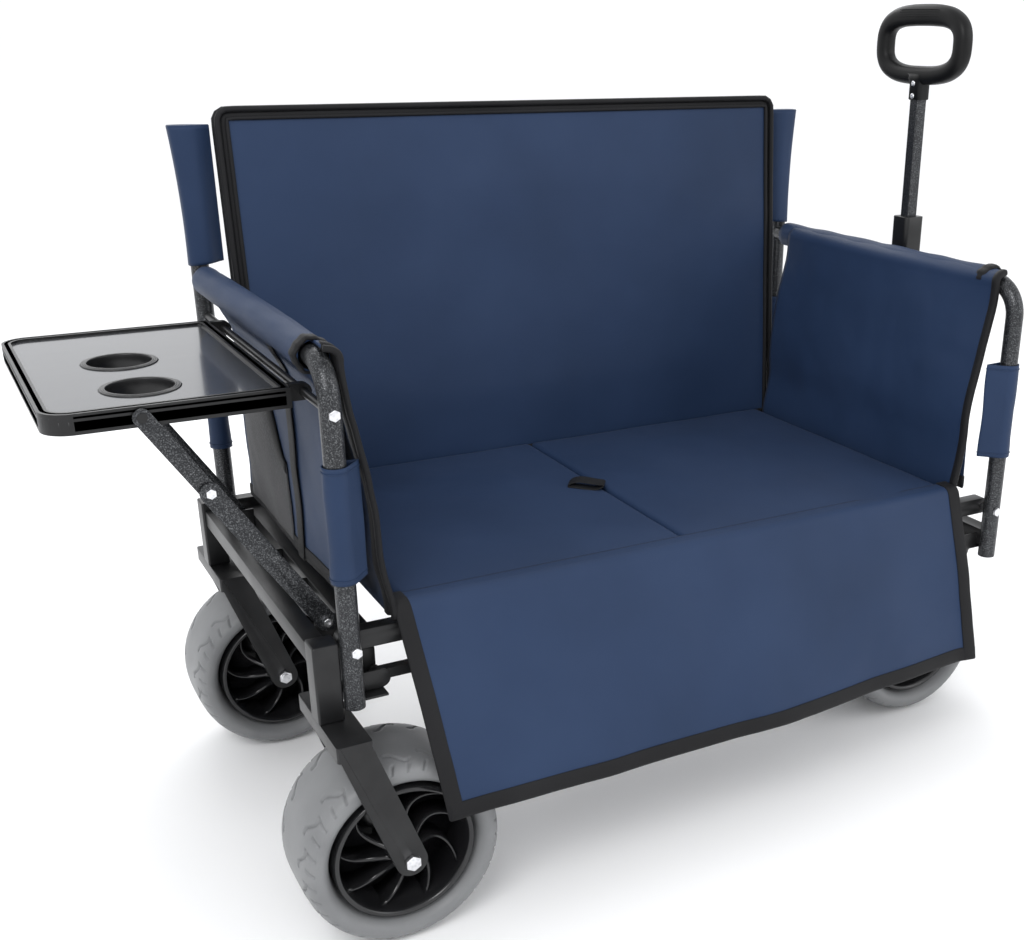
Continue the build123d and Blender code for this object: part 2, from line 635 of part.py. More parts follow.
def side_table():
    top = TABLE_TOP
    mid_x = -(TABLE_IN + TABLE_OUT) / 2
    depth = TABLE_OUT - TABLE_IN
    tray = Pos(mid_x, 0, top - TABLE_T / 2) * Box(depth, 2 * TABLE_HALF, TABLE_T)
    tray = fillet(tray.edges().filter_by(Axis.Z).group_by(Axis.X)[0], TABLE_CORNER)
    recess = block(-TABLE_OUT + TABLE_RIM, -TABLE_IN - TABLE_RIM, -TABLE_HALF + TABLE_RIM,
                   TABLE_HALF - TABLE_RIM, top - RIM_LIP - INSET_T, top + 1)
    recess = fillet(recess.edges().filter_by(Axis.Z).group_by(Axis.X)[0], TABLE_CORNER - TABLE_RIM)
    tray -= recess
    inset = block(-TABLE_OUT + TABLE_RIM, -TABLE_IN - TABLE_RIM, -TABLE_HALF + TABLE_RIM,
                  TABLE_HALF - TABLE_RIM, top - RIM_LIP - INSET_T, top - RIM_LIP)
    inset = fillet(inset.edges().filter_by(Axis.Z).group_by(Axis.X)[0], TABLE_CORNER - TABLE_RIM)
    rings = []
    for y in CUP_YS:
        foot = (-CUP_X, y, top - CUP_DEPTH)
        above = (-CUP_X, y, top + 1)
        seat = (-CUP_X, y, top - RIM_LIP - INSET_T)
        flush = (-CUP_X, y, top - RIM_LIP)
        tray -= rod(foot, above, CUP_R + CUP_WALL)
        inset -= rod(seat, above, CUP_RING_R)
        ring = rod(foot, flush, CUP_R + CUP_WALL)
        ring += rod(seat, flush, CUP_RING_R)
        rings.append(ring - rod((-CUP_X, y, top - CUP_DEPTH - 1), above, CUP_R))
    keep("table_tray", tray)
    keep("table_inset", inset)
    keep("cup_rings", *rings)

    upper_y, lower_y = brace_plane()
    hardware = []
    lug_end = (-TABLE_IN + 1, HINGE_Z)
    lug = strap((-HINGE_X, HINGE_Z), lug_end, HINGE_D + 10, -LUG_Y - LUG_T / 2, -LUG_Y + LUG_T / 2)
    lug -= block(-TABLE_OUT, -TABLE_IN, -TABLE_HALF, TABLE_HALF, 0, 2 * TABLE_TOP)
    lug -= hole_y(-HINGE_X, HINGE_Z, HINGE_D + 2 * PIN_FIT)
    hardware.extend(both_sides(lug))
    outer = -(upper_y + BRACE_T + HEAD_FIT)
    pin = rod_y(-BRACE_PIN_X, BRACE_PIN_Z, -TABLE_HALF, outer, BRACE_PIN_D / 2)
    pin += rod_y(-BRACE_PIN_X, BRACE_PIN_Z, outer, outer - 0.6, BRACE_PIN_D * 0.8)
    hardware.extend(both_sides(pin))
    keep("table_hardware", *hardware)


def braces():
    foot, knee, pin, pin_down, upper_length, lower_length = fold_points()
    upper_y, lower_y = brace_plane()
    upper = strap(knee, pin, UPPER_BRACE_W, -upper_y - BRACE_T, -upper_y)
    upper -= hole_y(pin[0], pin[1], BRACE_PIN_D + 2 * PIN_FIT)
    keep("upper_braces", *both_sides(upper))
    lower = strap(foot, knee, LOWER_BRACE_W, -lower_y - BRACE_T, -lower_y)
    lower -= hole_y(foot[0], foot[1], BRACE_PIN_D + 2 * PIN_FIT)
    lower -= hole_y(knee[0], knee[1], BRACE_PIN_D)
    keep("lower_braces", *both_sides(lower))
    knee_bolt = bolt_y(knee[0], knee[1], -lower_y - BRACE_T, -lower_y, BRACE_PIN_D)
    keep("knee_bolts", *both_sides(knee_bolt))


# ---- steering bogie and pull handle ----
def bogie():
    beam_top = HEAD_LOW - HEAD_GAP
    beam_end = RIGHT_TRACK + BEAM_PAST_TRACK
    beam = block(STEER_X - BEAM_W / 2, STEER_X + BEAM_W / 2, -beam_end, beam_end, FORK_TOP, beam_top)
    base_z = HEAD_HIGH + HEAD_GAP
    base_top = base_z + CLEVIS_BASE_T
    kingpin = rod((STEER_X, 0, FORK_TOP - FORK_H), (STEER_X, 0, base_top), KINGPIN_D / 2)
    gap = OUTER_TUBE / 2 + SIDE_GAP
    x_low, x_high = STEER_X - CLEVIS_HALF, STEER_X + CLEVIS_HALF
    base = block(x_low, x_high, -gap - CLEVIS_T, gap + CLEVIS_T, base_z, base_top)
    for y in (-gap - CLEVIS_T, gap):
        ear = strap((STEER_X, base_z + CLEVIS_HALF), (STEER_X, TILT_Z), 2 * CLEVIS_HALF, y, y + CLEVIS_T)
        ear += block(x_low, x_high, y, y + CLEVIS_T, base_z, base_z + CLEVIS_HALF)
        base += ear
    pin = bolt_y(STEER_X, TILT_Z, -gap - CLEVIS_T, gap + CLEVIS_T + PIN_END, PIN_D)
    keep("bogie_beam", beam - rod((STEER_X, 0, 0), (STEER_X, 0, HEAD_HIGH), KINGPIN_D / 2))
    keep("kingpin", kingpin + base)
    base_hole = hole_y(STEER_X, TILT_Z, PIN_D)
    nodes["kingpin"] = (nodes["kingpin"][0] - base_hole).solids()
    keep("handle_pin", pin)
    fork = wheel_fork(STEER_X, -RIGHT_TRACK, -1)
    keep("right_forks", *both_sides(fork))
    keep("right_axles", *both_sides(axle(STEER_X - TRAIL, -RIGHT_TRACK)))


def square_tube(size, low, high, bore, corner=TUBE_ROUND):
    outer = block(STEER_X - size / 2, STEER_X + size / 2, -size / 2, size / 2, low, high)
    outer = fillet(outer.edges().filter_by(Axis.Z), corner)
    if not bore:
        return outer
    inner = block(STEER_X - bore / 2, STEER_X + bore / 2, -bore / 2, bore / 2, low - 1, high + 1)
    return outer - inner


def handle():
    bore = OUTER_TUBE - 2 * OUTER_WALL
    inner_size = bore - 2 * INNER_FIT
    tube = square_tube(OUTER_TUBE, TILT_Z, OUTER_TOP, bore)
    plug = square_tube(bore, TILT_Z, TILT_Z + FOOT_PLUG, 0)
    foot = rod_y(STEER_X, TILT_Z, -OUTER_TUBE / 2, OUTER_TUBE / 2, OUTER_TUBE / 2)
    tube = tube + plug + foot - hole_y(STEER_X, TILT_Z, PIN_D + 2 * PIN_FIT)
    keep("handle_outer_tube", tube)
    collar = square_tube(COLLAR, COLLAR_LOW, COLLAR_HIGH, bore, COLLAR_ROUND)
    collar = collar - square_tube(OUTER_TUBE, COLLAR_LOW - 5, OUTER_TOP, 0)
    keep("handle_collar", collar)

    inner_low = TILT_Z + FOOT_PLUG + SLIDE_IN + SLIDE_STOP
    shaft = square_tube(inner_size, inner_low, GRIP_COLLAR_LOW + SOCKET_H, inner_size - 2 * TUBE_WALL)
    keep("handle_inner_tube", shaft)
    keep("handle_grip", grip(inner_size))


def grip(inner_size):
    """Closed loop grip in the plane X = STEER_X, with a socket for the tube below it."""
    centre_y = GRIP_HALF_Y - GRIP_TUBE_R
    centre_z = GRIP_HALF_Z - GRIP_TUBE_R
    low = GRIP_Z - centre_z
    corner = min(centre_z, centre_y) * 0.92
    high = low + 2 * centre_z
    outline = [(-centre_y, low), (centre_y, low), (centre_y, high), (-centre_y, high)]
    points = [(STEER_X, y, z) for y, z in outline]
    path = FilletPolyline(*points, radius=corner, close=True)
    start = path.edges()[0]
    section = Plane(origin=start @ 0, z_dir=start % 0) * Circle(GRIP_TUBE_R)
    loop = sweep(section, path=path)
    socket = square_tube(GRIP_COLLAR, GRIP_COLLAR_LOW, low + 4, 0)
    body = loop + socket
    return body - block(STEER_X - inner_size / 2, STEER_X + inner_size / 2, -inner_size / 2, inner_size / 2,
                        GRIP_COLLAR_LOW - 1, GRIP_COLLAR_LOW + SOCKET_H)


left_end()
right_end()
for wheel_name, wheel_x, wheel_y in (
    ("left_front", -LEFT_FORK_X + TRAIL, -LEFT_TRACK),
    ("left_back", -LEFT_FORK_X + TRAIL, LEFT_TRACK),
    ("right_front", STEER_X - TRAIL, -RIGHT_TRACK),
    ("right_back", STEER_X - TRAIL, RIGHT_TRACK),
):
    wheel(wheel_name, wheel_x, wheel_y)
seat_half(-1, "left")
seat_half(1, "right")
keep("left_links", *both_sides(lower_link(-1)))
keep("right_links", *both_sides(lower_link(1)))
hub()
pull_loop()
backrest()
skirt()
side_table()
braces()
bogie()
handle()

os.makedirs("parts", exist_ok=True)
for node_name, solids in nodes.items():
    shape = solids[0] if len(solids) == 1 else Compound(children=solids)
    export_step(shape, "parts/" + node_name + ".step")
print(len(nodes), "nodes")
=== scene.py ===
"""Looks of the folding beach cart: fabric, tyres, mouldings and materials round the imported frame. Metres."""

import json
import math

import bmesh
import bpy
from mathutils import Matrix, Vector, noise


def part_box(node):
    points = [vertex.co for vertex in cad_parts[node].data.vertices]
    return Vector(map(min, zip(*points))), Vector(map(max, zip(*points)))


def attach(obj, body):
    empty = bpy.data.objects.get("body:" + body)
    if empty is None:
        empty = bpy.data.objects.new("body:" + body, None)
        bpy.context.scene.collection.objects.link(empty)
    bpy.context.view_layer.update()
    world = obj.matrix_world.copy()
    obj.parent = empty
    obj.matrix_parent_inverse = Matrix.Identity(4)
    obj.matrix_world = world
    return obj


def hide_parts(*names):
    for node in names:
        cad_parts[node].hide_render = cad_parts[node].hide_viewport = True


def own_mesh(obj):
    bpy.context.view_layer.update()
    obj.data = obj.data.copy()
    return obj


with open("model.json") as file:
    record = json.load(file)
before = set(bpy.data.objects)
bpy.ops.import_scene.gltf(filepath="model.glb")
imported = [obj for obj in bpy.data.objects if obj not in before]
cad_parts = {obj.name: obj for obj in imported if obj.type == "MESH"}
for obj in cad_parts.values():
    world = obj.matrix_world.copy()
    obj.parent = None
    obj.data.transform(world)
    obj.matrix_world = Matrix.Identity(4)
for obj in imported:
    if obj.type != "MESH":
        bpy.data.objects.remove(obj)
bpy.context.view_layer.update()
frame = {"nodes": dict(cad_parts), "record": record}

# ---- camera and stage ----
CAMERA_AT = (-0.886, -1.631, 1.064)
CAMERA_AZIMUTH = math.radians(-29.95)
CAMERA_ELEVATION = math.radians(22.55)
CAMERA_ROLL = math.radians(0.54)
LENS_MM = 45.65
SENSOR_MM = 36.0
SHIFT = (-0.124, 0.094)
FLOOR_HALF = 150.0        # the floor runs past the horizon
STAGE_COLOUR = (0.97, 0.98, 1.0, 1)
STAGE_LIGHT = 1.1

# ---- cloth and trim sizes ----
CLOTH_T = 0.0012
BINDING_W = 0.019         # tape folded over a cloth edge, seen width
BINDING_H = 0.0022        # its half thickness
PIPING_R = 0.0042
BACK_CELLS = (74, 46)     # the outermost cells are the bound edge
SEAT_CELLS = (56, 44)
SWELL_STEPS = 18
PAD_ROUND = 0.020         # along the seat's ends
SEAM_FILL = 0.0022        # the two seat halves swell towards each other
SKIRT_RUN = (0.091, 0.247)      # how far the skirt comes forward and falls below the seat's edge
PANEL_X = 0.4555          # side panels hang down at this distance from the middle
PANEL_FOOT_X = 0.4405     # and tuck in to this one beside the seat

# ---- end posts and their sleeves ----
POST_X = 0.5
POST_Y = 0.293
SLEEVE_R = 0.0150
SLEEVE_LOW_Z, SLEEVE_LEN = 0.480, 0.138
FLAP_REACH = 0.032
FLAP_TURN = math.radians(20)    # front sleeves' flat edge turns this far towards the back
FLAP_HALF = 0.0016
WING_LOW, WING_HIGH = 0.750, 0.9345
WING_IN_X = 0.4658

# ---- wheels, table and grip ----
WHEEL_STEPS = 432
BEAD_R = 0.0895
SPOKES = 9
TABLE_ROUND = 0.032
TABLE_RIM_W = 0.0112
GRIP_HALF_Z = 0.057
GRIP_SOCKET_HALF = 0.0125
DOT_PITCH = 0.0034


# ---- small mesh tools ----
def add_object(name, data):
    obj = bpy.data.objects.new(name, data)
    bpy.context.scene.collection.objects.link(obj)
    return obj


def make_object(name, verts, faces, material):
    mesh = bpy.data.meshes.new(name)
    mesh.from_pydata([tuple(v) for v in verts], [], faces)
    mesh.validate()
    mesh.materials.append(material)
    mesh.shade_smooth()
    return add_object(name, mesh)


def grid_faces(rows, cols, wrap_rows=False, wrap_cols=False):
    faces = []
    for i in range(rows if wrap_rows else rows - 1):
        for j in range(cols if wrap_cols else cols - 1):
            a, b = i * cols + j, i * cols + (j + 1) % cols
            c, d = ((i + 1) % rows) * cols + (j + 1) % cols, ((i + 1) % rows) * cols + j
            faces.append((a, b, c, d))
    return faces


def surface(name, rows, cols, point, material, wrap=False):
    """A grid surface; point(u, v) gives a place for u and v from 0 to 1; it may close on itself along v."""
    verts = []
    for i in range(rows):
        for j in range(cols):
            verts.append(point(i / (rows - 1), j / (cols if wrap else cols - 1)))
    return make_object(name, verts, grid_faces(rows, cols, wrap_cols=wrap), material)


def apply_modifiers(obj):
    """Bake the object's modifiers into its own mesh."""
    graph = bpy.context.evaluated_depsgraph_get()
    mesh = bpy.data.meshes.new_from_object(obj.evaluated_get(graph))
    obj.modifiers.clear()
    obj.data = mesh
    return obj


def outward(obj):
    work = bmesh.new()
    work.from_mesh(obj.data)
    bmesh.ops.recalc_face_normals(work, faces=work.faces)
    work.to_mesh(obj.data)
    work.free()
    return obj


def thicken(obj, thickness, offset=-1.0):
    shell = obj.modifiers.new("thickness", "SOLIDIFY")
    shell.thickness = thickness
    shell.offset = offset
    return apply_modifiers(obj)


def subdivide(obj):
    smooth = obj.modifiers.new("smooth", "SUBSURF")
    smooth.levels = smooth.render_levels = 1
    return apply_modifiers(obj)


def loft(name, sections, material, closed=False):
    """Skin between rings of equal length, each ring closed on itself."""
    cols = len(sections[0])
    verts = [p for ring in sections for p in ring]
    faces = grid_faces(len(sections), cols, wrap_rows=closed, wrap_cols=True)
    if not closed:
        faces.append(tuple(range(cols)))
        faces.append(tuple(len(verts) - 1 - k for k in range(cols)))
    return outward(make_object(name, verts, faces, material))


def tube(name, points, radius, material, closed=False, ring=8):
    """A round bar along a line, its section carried along without twist."""
    points = [Vector(p) for p in points]
    turns = [math.tau * j / ring for j in range(ring)]
    last = len(points) - 1
    side, sections = None, []
    for k, centre in enumerate(points):
        ahead = points[(k + 1) % len(points)] if closed or k < last else centre
        behind = points[k - 1] if closed or k > 0 else centre
        tangent = (ahead - behind).normalized()
        side = (tangent.orthogonal() if side is None else side - tangent * side.dot(tangent)).normalized()
        normal = tangent.cross(side)
        sections.append([centre + side * math.cos(a) * radius + normal * math.sin(a) * radius for a in turns])
    return loft(name, sections, material, closed=closed)


def tape(name, edge, inward, normals, material, width=BINDING_W, half=BINDING_H):
    """Binding folded over a cloth edge, as one closed flat strip."""
    sections = []
    profile = [(1.0, 0.75), (0.94, 1.0), (0.5, 1.08), (0.08, 1.0), (-0.06, 0.55), (-0.1, 0.0),
               (-0.06, -0.55), (0.08, -1.0), (0.5, -1.08), (0.94, -1.0), (1.0, -0.75)]
    for point, into, normal in zip(edge, inward, normals):
        point, into, normal = Vector(point), Vector(into).normalized(), Vector(normal).normalized()
        sections.append([point + into * (width * a) + normal * (half * b) for a, b in profile])
    return loft(name, sections, material)


def join(name, objects):
    """One object made of several, keeping their materials."""
    whole = bmesh.new()
    mesh = bpy.data.meshes.new(name)
    names = []
    for obj in objects:
        slots = []
        for material in obj.data.materials:
            if material.name not in names:
                names.append(material.name)
                mesh.materials.append(material)
            slots.append(names.index(material.name))
        before = len(whole.faces)
        whole.from_mesh(obj.data)
        whole.faces.ensure_lookup_table()
        for face in whole.faces[before:]:
            face.material_index = slots[face.material_index]
        bpy.data.objects.remove(obj)
    whole.to_mesh(mesh)
    whole.free()
    return add_object(name, mesh)


def lathe(name, centre, outline, steps, material, shift=None, upright=False):
    """Turn a closed outline of (place along the axle, radius) about an axle along Y, or along Z when upright."""
    verts = []
    for i in range(steps):
        angle = math.tau * i / steps
        for along, r in outline:
            reach = r + (shift(angle, along, r) if shift else 0.0)
            side, turned = reach * math.cos(angle), reach * math.sin(angle)
            y, z = (turned, along) if upright else (along, turned)
            verts.append((centre.x + side, centre.y + y, centre.z + z))
    return outward(make_object(name, verts, grid_faces(steps, len(outline), True, True), material))


def puckers(p, scale, strength, seed=0.0):
    """Soft irregular rise and fall of cloth at a place."""
    q = Vector(p) * scale + Vector((seed, seed * 1.7, -seed))
    return noise.fractal(q, 0.9, 2.1, 3) * strength


def ease(t):
    t = min(1.0, max(0.0, t))
    return t * t * (3 - 2 * t)


def powered(value, exponent):
    """A power that keeps the sign, for boxy ovals."""
    return math.copysign(abs(value) ** exponent, value)


def corner_box(node):
    low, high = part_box(node)
    return Vector(low), Vector(high)


# ---- materials ----
class Recipe:
    """Short way to wire a node material."""

    def __init__(self, name, colour, roughness, metallic=0.0):
        self.material = bpy.data.materials.new(name)
        self.material.use_nodes = True
        self.tree = self.material.node_tree
        self.shader = self.tree.nodes["Principled BSDF"]
        self.shader.inputs["Base Color"].default_value = (*colour, 1)
        self.shader.inputs["Roughness"].default_value = roughness
        self.shader.inputs["Metallic"].default_value = metallic
        self.place = self.add("ShaderNodeTexCoord").outputs["Object"]

    def add(self, kind, **values):
        """A new node; capitalised values go to its inputs, the others are its own settings."""
        node = self.tree.nodes.new(kind)
        for key, value in values.items():
            if key[0].isupper():
                node.inputs[key.replace("_", " ")].default_value = value
            else:
                setattr(node, key, value)
        return node

    def join(self, a, b):
        self.tree.links.new(a, b)

    def set(self, **values):
        for key, value in values.items():
            self.shader.inputs[key.replace("_", " ")].default_value = value
        return self

    def noise(self, scale, detail=3.0, stretch=None):
        node = self.add("ShaderNodeTexNoise", Scale=scale, Detail=detail)
        self.join(self.stretched(stretch), node.inputs["Vector"])
        return node.outputs["Fac"]

    def stretched(self, stretch):
        if stretch is None:
            return self.place
        mapping = self.add("ShaderNodeMapping", Scale=stretch)
        self.join(self.place, mapping.inputs["Vector"])
        return mapping.outputs["Vector"]

    def cells(self, scale, feature="F1"):
        node = self.add("ShaderNodeTexVoronoi", feature=feature, Scale=scale)
        self.join(self.place, node.inputs["Vector"])
        return node.outputs["Distance"]

    def waves(self, scale, direction):
        node = self.add("ShaderNodeTexWave", bands_direction=direction, Scale=scale, Distortion=0.4, Detail_Scale=3.0)
        self.join(self.place, node.inputs["Vector"])
        return node.outputs["Fac"]

    def ramp(self, source, *stops):
        node = self.add("ShaderNodeValToRGB")
        ramp = node.color_ramp
        while len(ramp.elements) < len(stops):
            ramp.elements.new(0.5)
        for element, (place, colour) in zip(ramp.elements, stops):
            element.position = place
            element.color = (*colour, 1)
        self.join(source, node.inputs["Fac"])
        return node.outputs["Color"]

    def colour(self, source, *stops):
        self.join(self.ramp(source, *stops), self.shader.inputs["Base Color"])
        return self

    def rough(self, source, low, high):
        node = self.add("ShaderNodeMapRange", To_Min=low, To_Max=high)
        self.join(source, node.inputs["Value"])
        self.join(node.outputs["Result"], self.shader.inputs["Roughness"])
        return self

    def bump(self, source, strength, distance, after=None):
        node = self.add("ShaderNodeBump", Strength=strength, Distance=distance)
        self.join(source, node.inputs["Height"])
        if after is not None:
            self.join(after, node.inputs["Normal"])
        self.join(node.outputs["Normal"], self.shader.inputs["Normal"])
        return node.outputs["Normal"]

    def blend(self, a, b, operation="ADD"):
        node = self.add("ShaderNodeMath", operation=operation)
        self.join(a, node.inputs[0])
        self.join(b, node.inputs[1])
        return node.outputs["Value"]


def woven(name, dark, base, light, roughness, thread=900.0, relief=0.00012, sheen=0.02):
    """Coated polyester: fine crossed threads, a slow change of tone and slight puckers."""
    r = Recipe(name, base, roughness)
    r.colour(r.noise(5.0, 4.0), (0.3, dark), (0.55, base), (0.8, light))
    weave = r.blend(r.blend(r.waves(thread, "X"), r.waves(thread, "Y")), r.waves(thread, "Z"))
    fine = r.bump(weave, 0.25, relief)
    r.bump(r.noise(60.0, 3.0), 0.12, 0.0012, after=fine)
    r.rough(r.noise(9.0, 3.0), roughness - 0.07, roughness + 0.07)
    r.set(Sheen_Weight=sheen, Sheen_Roughness=0.5, Specular_IOR_Level=0.22)
    return r.material


def hammered_paint():
    """Dark grey powder coat with the pebbled, speckled skin of hammer finish."""
    r = Recipe("hammered_grey", (0.05, 0.052, 0.055), 0.32, 0.55)
    grain = r.noise(620.0, 2.0)
    r.colour(grain, (0.42, (0.014, 0.015, 0.017)), (0.56, (0.042, 0.044, 0.048)), (0.72, (0.15, 0.155, 0.16)))
    pebbles = r.bump(r.cells(430.0, "SMOOTH_F1"), 0.5, 0.0004)
    r.bump(grain, 0.3, 0.0003, after=pebbles)
    r.rough(grain, 0.24, 0.42)
    r.set(Specular_IOR_Level=0.6)
    return r.material


def satin_black(name="satin_black", tone=0.013, roughness=0.36, metallic=0.2, gleam=0.4):
    r = Recipe(name, (tone, tone, tone * 1.06), roughness, metallic)
    dark, light = (tone * 0.8, tone * 0.8, tone * 0.85), (tone * 1.3, tone * 1.32, tone * 1.38)
    r.colour(r.noise(30.0, 4.0), (0.35, dark), (0.7, light))
    r.bump(r.noise(900.0, 2.0), 0.12, 0.0002)
    r.rough(r.noise(14.0, 4.0), roughness - 0.07, roughness + 0.1)
    r.set(Specular_IOR_Level=gleam)
    return r.material


def zinc_plate():
    r = Recipe("zinc_plate", (0.72, 0.73, 0.75), 0.3, 1.0)
    r.colour(r.cells(220.0), (0.0, (0.60, 0.61, 0.63)), (0.6, (0.80, 0.80, 0.82)))
    r.bump(r.noise(500.0, 2.0), 0.08, 0.0002)
    r.rough(r.noise(60.0, 3.0), 0.22, 0.42)
    return r.material


def balloon_rubber():
    r = Recipe("balloon_tyre", (0.19, 0.195, 0.2), 0.42)
    r.colour(r.noise(12.0, 5.0), (0.3, (0.16, 0.163, 0.168)), (0.55, (0.19, 0.194, 0.198)),
             (0.8, (0.215, 0.218, 0.222)))
    r.bump(r.noise(240.0, 3.0), 0.1, 0.0004)
    r.rough(r.noise(20.0, 4.0), 0.33, 0.5)
    r.set(Subsurface_Weight=0.03, Subsurface_Radius=(0.004, 0.004, 0.004), Specular_IOR_Level=0.35)
    return r.material


def gloss_black():
    r = Recipe("gloss_black", (0.010, 0.010, 0.011), 0.18)
    r.colour(r.noise(20.0, 3.0), (0.3, (0.008, 0.008, 0.009)), (0.75, (0.016, 0.016, 0.017)))
    r.bump(r.noise(160.0, 2.0), 0.03, 0.0003)
    r.rough(r.noise(26.0, 4.0), 0.12, 0.27)
    return r.material


def table_panel():
    """Smooth coated board with a metallic grey sheen and faint brushing."""
    r = Recipe("grey_panel", (0.075, 0.078, 0.084), 0.16, 0.4)
    r.colour(r.noise(8.0, 4.0, (1, 30, 1)), (0.35, (0.068, 0.071, 0.077)), (0.7, (0.084, 0.087, 0.093)))
    r.bump(r.noise(3.0, 2.0), 0.04, 0.001)
    r.rough(r.noise(10.0, 4.0, (1, 24, 1)), 0.1, 0.2)
    r.set(Coat_Weight=0.4, Coat_Roughness=0.06)
    return r.material


def open_mesh():
    """Black net: a fine hexagonal relief, with painted shade darkening its holes."""
    r = Recipe("pocket_net", (0.012, 0.012, 0.014), 0.7)
    holes = r.cells(420.0)
    # the colour ramp paints the hole centres near black as painted shade in the openings, rising to a lighter tone on
    # the threads between them
    r.colour(holes, (0.2, (0.003, 0.003, 0.004)), (0.5, (0.014, 0.014, 0.017)), (0.8, (0.03, 0.03, 0.034)))
    r.bump(holes, 0.6, 0.0006)
    r.set(Sheen_Weight=0.1)
    return r.material


def fibreboard():
    r = Recipe("fibreboard", (0.10, 0.07, 0.045), 0.75)
    r.colour(r.noise(140.0, 5.0, (1, 6, 1)), (0.3, (0.07, 0.05, 0.03)), (0.7, (0.13, 0.095, 0.06)))
    r.bump(r.noise(300.0, 3.0), 0.2, 0.0003)
    return r.material


HAMMERED = hammered_paint()
BLACK_STEEL = satin_black()
PLASTIC_BLACK = satin_black("moulded_black", 0.009, 0.34, 0.0, 0.35)
GRIP_BLACK = satin_black("grip_black", 0.0045, 0.42, 0.0, 0.2)
ZINC = zinc_plate()
TYRE = balloon_rubber()
GLOSS = gloss_black()
PANEL = table_panel()
NET = open_mesh()
BOARD = fibreboard()
NAVY = woven("navy_polyester", (0.0115, 0.0265, 0.066), (0.0145, 0.0315, 0.077), (0.018, 0.037, 0.087), 0.55)
TAPE = woven("black_binding", (0.004, 0.004, 0.005), (0.0058, 0.0058, 0.0068), (0.009, 0.009, 0.0105), 0.6, 700.0,
             0.0002)
WEBBING = woven("black_webbing", (0.004, 0.004, 0.0045), (0.006, 0.006, 0.0068), (0.011, 0.011, 0.0125), 0.6, 380.0,
                0.0005)

FINISHES = {
    HAMMERED: """left_arm_tube right_arm_tube left_back_post right_back_post upper_braces lower_braces
        handle_outer_tube handle_inner_tube""",
    BLACK_STEEL: """left_end_rails left_brackets left_blocks left_forks right_forks left_rails right_rails left_links
        right_links hub_frame right_cross_rail steering_head bogie_beam kingpin table_hinge_rod""",
    ZINC: "left_bolts right_bolts left_axles right_axles hub_pins knee_bolts handle_pin",
    PLASTIC_BLACK: "table_tray table_hardware cup_rings handle_clip handle_collar",
    PANEL: "table_inset",
    GRIP_BLACK: "handle_grip",
    BOARD: "left_seat_board right_seat_board",
    TYRE: "left_front_tyre left_back_tyre right_front_tyre right_back_tyre",
    GLOSS: "left_front_rim left_back_rim right_front_rim right_back_rim",
    NAVY: """left_arm_roll right_arm_roll left_arm_panel right_arm_panel left_end_panel right_end_panel left_sleeves
        right_sleeves backrest skirt left_seat_pad right_seat_pad""",
    WEBBING: "pull_loop",
}
for finish, finish_names in FINISHES.items():
    for finish_node in finish_names.split():
        frame["nodes"][finish_node].data.materials.clear()
        frame["nodes"][finish_node].data.materials.append(finish)


# ---- camera, light, floor ----
def place_camera():
    a, e = CAMERA_AZIMUTH, CAMERA_ELEVATION
    right = Vector((math.cos(a), math.sin(a), 0))
    back = Vector((math.sin(a) * math.cos(e), -math.cos(a) * math.cos(e), math.sin(e)))
    up = back.cross(right)
    c, s = math.cos(CAMERA_ROLL), math.sin(CAMERA_ROLL)
    x_axis = right * c + up * s
    y_axis = up * c - right * s
    data = bpy.data.cameras.new("camera")
    data.lens = LENS_MM
    data.sensor_width = SENSOR_MM
    data.sensor_fit = "HORIZONTAL"
    data.shift_x, data.shift_y = SHIFT
    camera = add_object("camera", data)
    turn = Matrix((x_axis, y_axis, back)).transposed()
    camera.matrix_world = Matrix.Translation(CAMERA_AT) @ turn.to_4x4()
    bpy.context.scene.camera = camera


def soft_light(name, place, target, size, power):
    data = bpy.data.lights.new(name, "AREA")
    data.shape = "RECTANGLE"
    data.size, data.size_y = size
    data.energy = power
    light = add_object(name, data)
    light.location = place
    light.rotation_euler = (Vector(target) - Vector(place)).to_track_quat("-Z", "Y").to_euler()


def studio():
    r = Recipe("pale_floor", (0.95, 0.95, 0.95), 0.8)
    r.colour(r.noise(0.6, 2.0), (0.2, (0.94, 0.94, 0.94)), (0.8, (0.96, 0.96, 0.96)))

    def point(u, v):
        return (v - 0.5) * 2 * FLOOR_HALF, (u - 0.5) * 2 * FLOOR_HALF, 0.0

    floor = surface("floor", 2, 2, point, r.material)
    world = bpy.data.worlds.new("studio")
    world.use_nodes = True
    background = world.node_tree.nodes["Background"]
    background.inputs["Color"].default_value = STAGE_COLOUR
    background.inputs["Strength"].default_value = STAGE_LIGHT
    bpy.context.scene.world = world
    soft_light("key", (-2.2, -2.4, 3.2), (0, 0, 0.5), (2.0, 1.6), 62)
    soft_light("fill", (2.8, -2.6, 2.2), (0, 0, 0.5), (2.6, 2.2), 28)
    soft_light("rim", (0.5, 2.8, 2.6), (0, 0, 0.6), (3.0, 1.4), 40)
    bpy.context.scene.view_settings.view_transform = "Standard"


place_camera()
studio()


# ---- CAD pieces with broken edges ----
def soften(node, material, body, slot, width):
    """The CAD piece with its edges broken, as paint and moulding leave them."""
    source = frame["nodes"][node]
    mesh = source.data.copy()
    obj = add_object(node + "_soft", mesh)
    obj.matrix_world = source.matrix_world.copy()
    work = bmesh.new()
    work.from_mesh(mesh)
    bmesh.ops.remove_doubles(work, verts=work.verts, dist=1e-6)
    bmesh.ops.dissolve_limit(work, angle_limit=math.radians(0.6), verts=work.verts, edges=work.edges)
    work.to_mesh(mesh)
    work.free()
    edge = obj.modifiers.new("edge", "BEVEL")
    edge.width = width
    edge.segments = 2
    edge.limit_method = "ANGLE"
    edge.angle_limit = math.radians(32)
    apply_modifiers(obj)
    obj.data.materials.clear()
    obj.data.materials.append(material)
    obj.data.shade_smooth()
    obj.data.set_sharp_from_angle(angle=math.radians(40))
    return place(obj, body, slot, node)


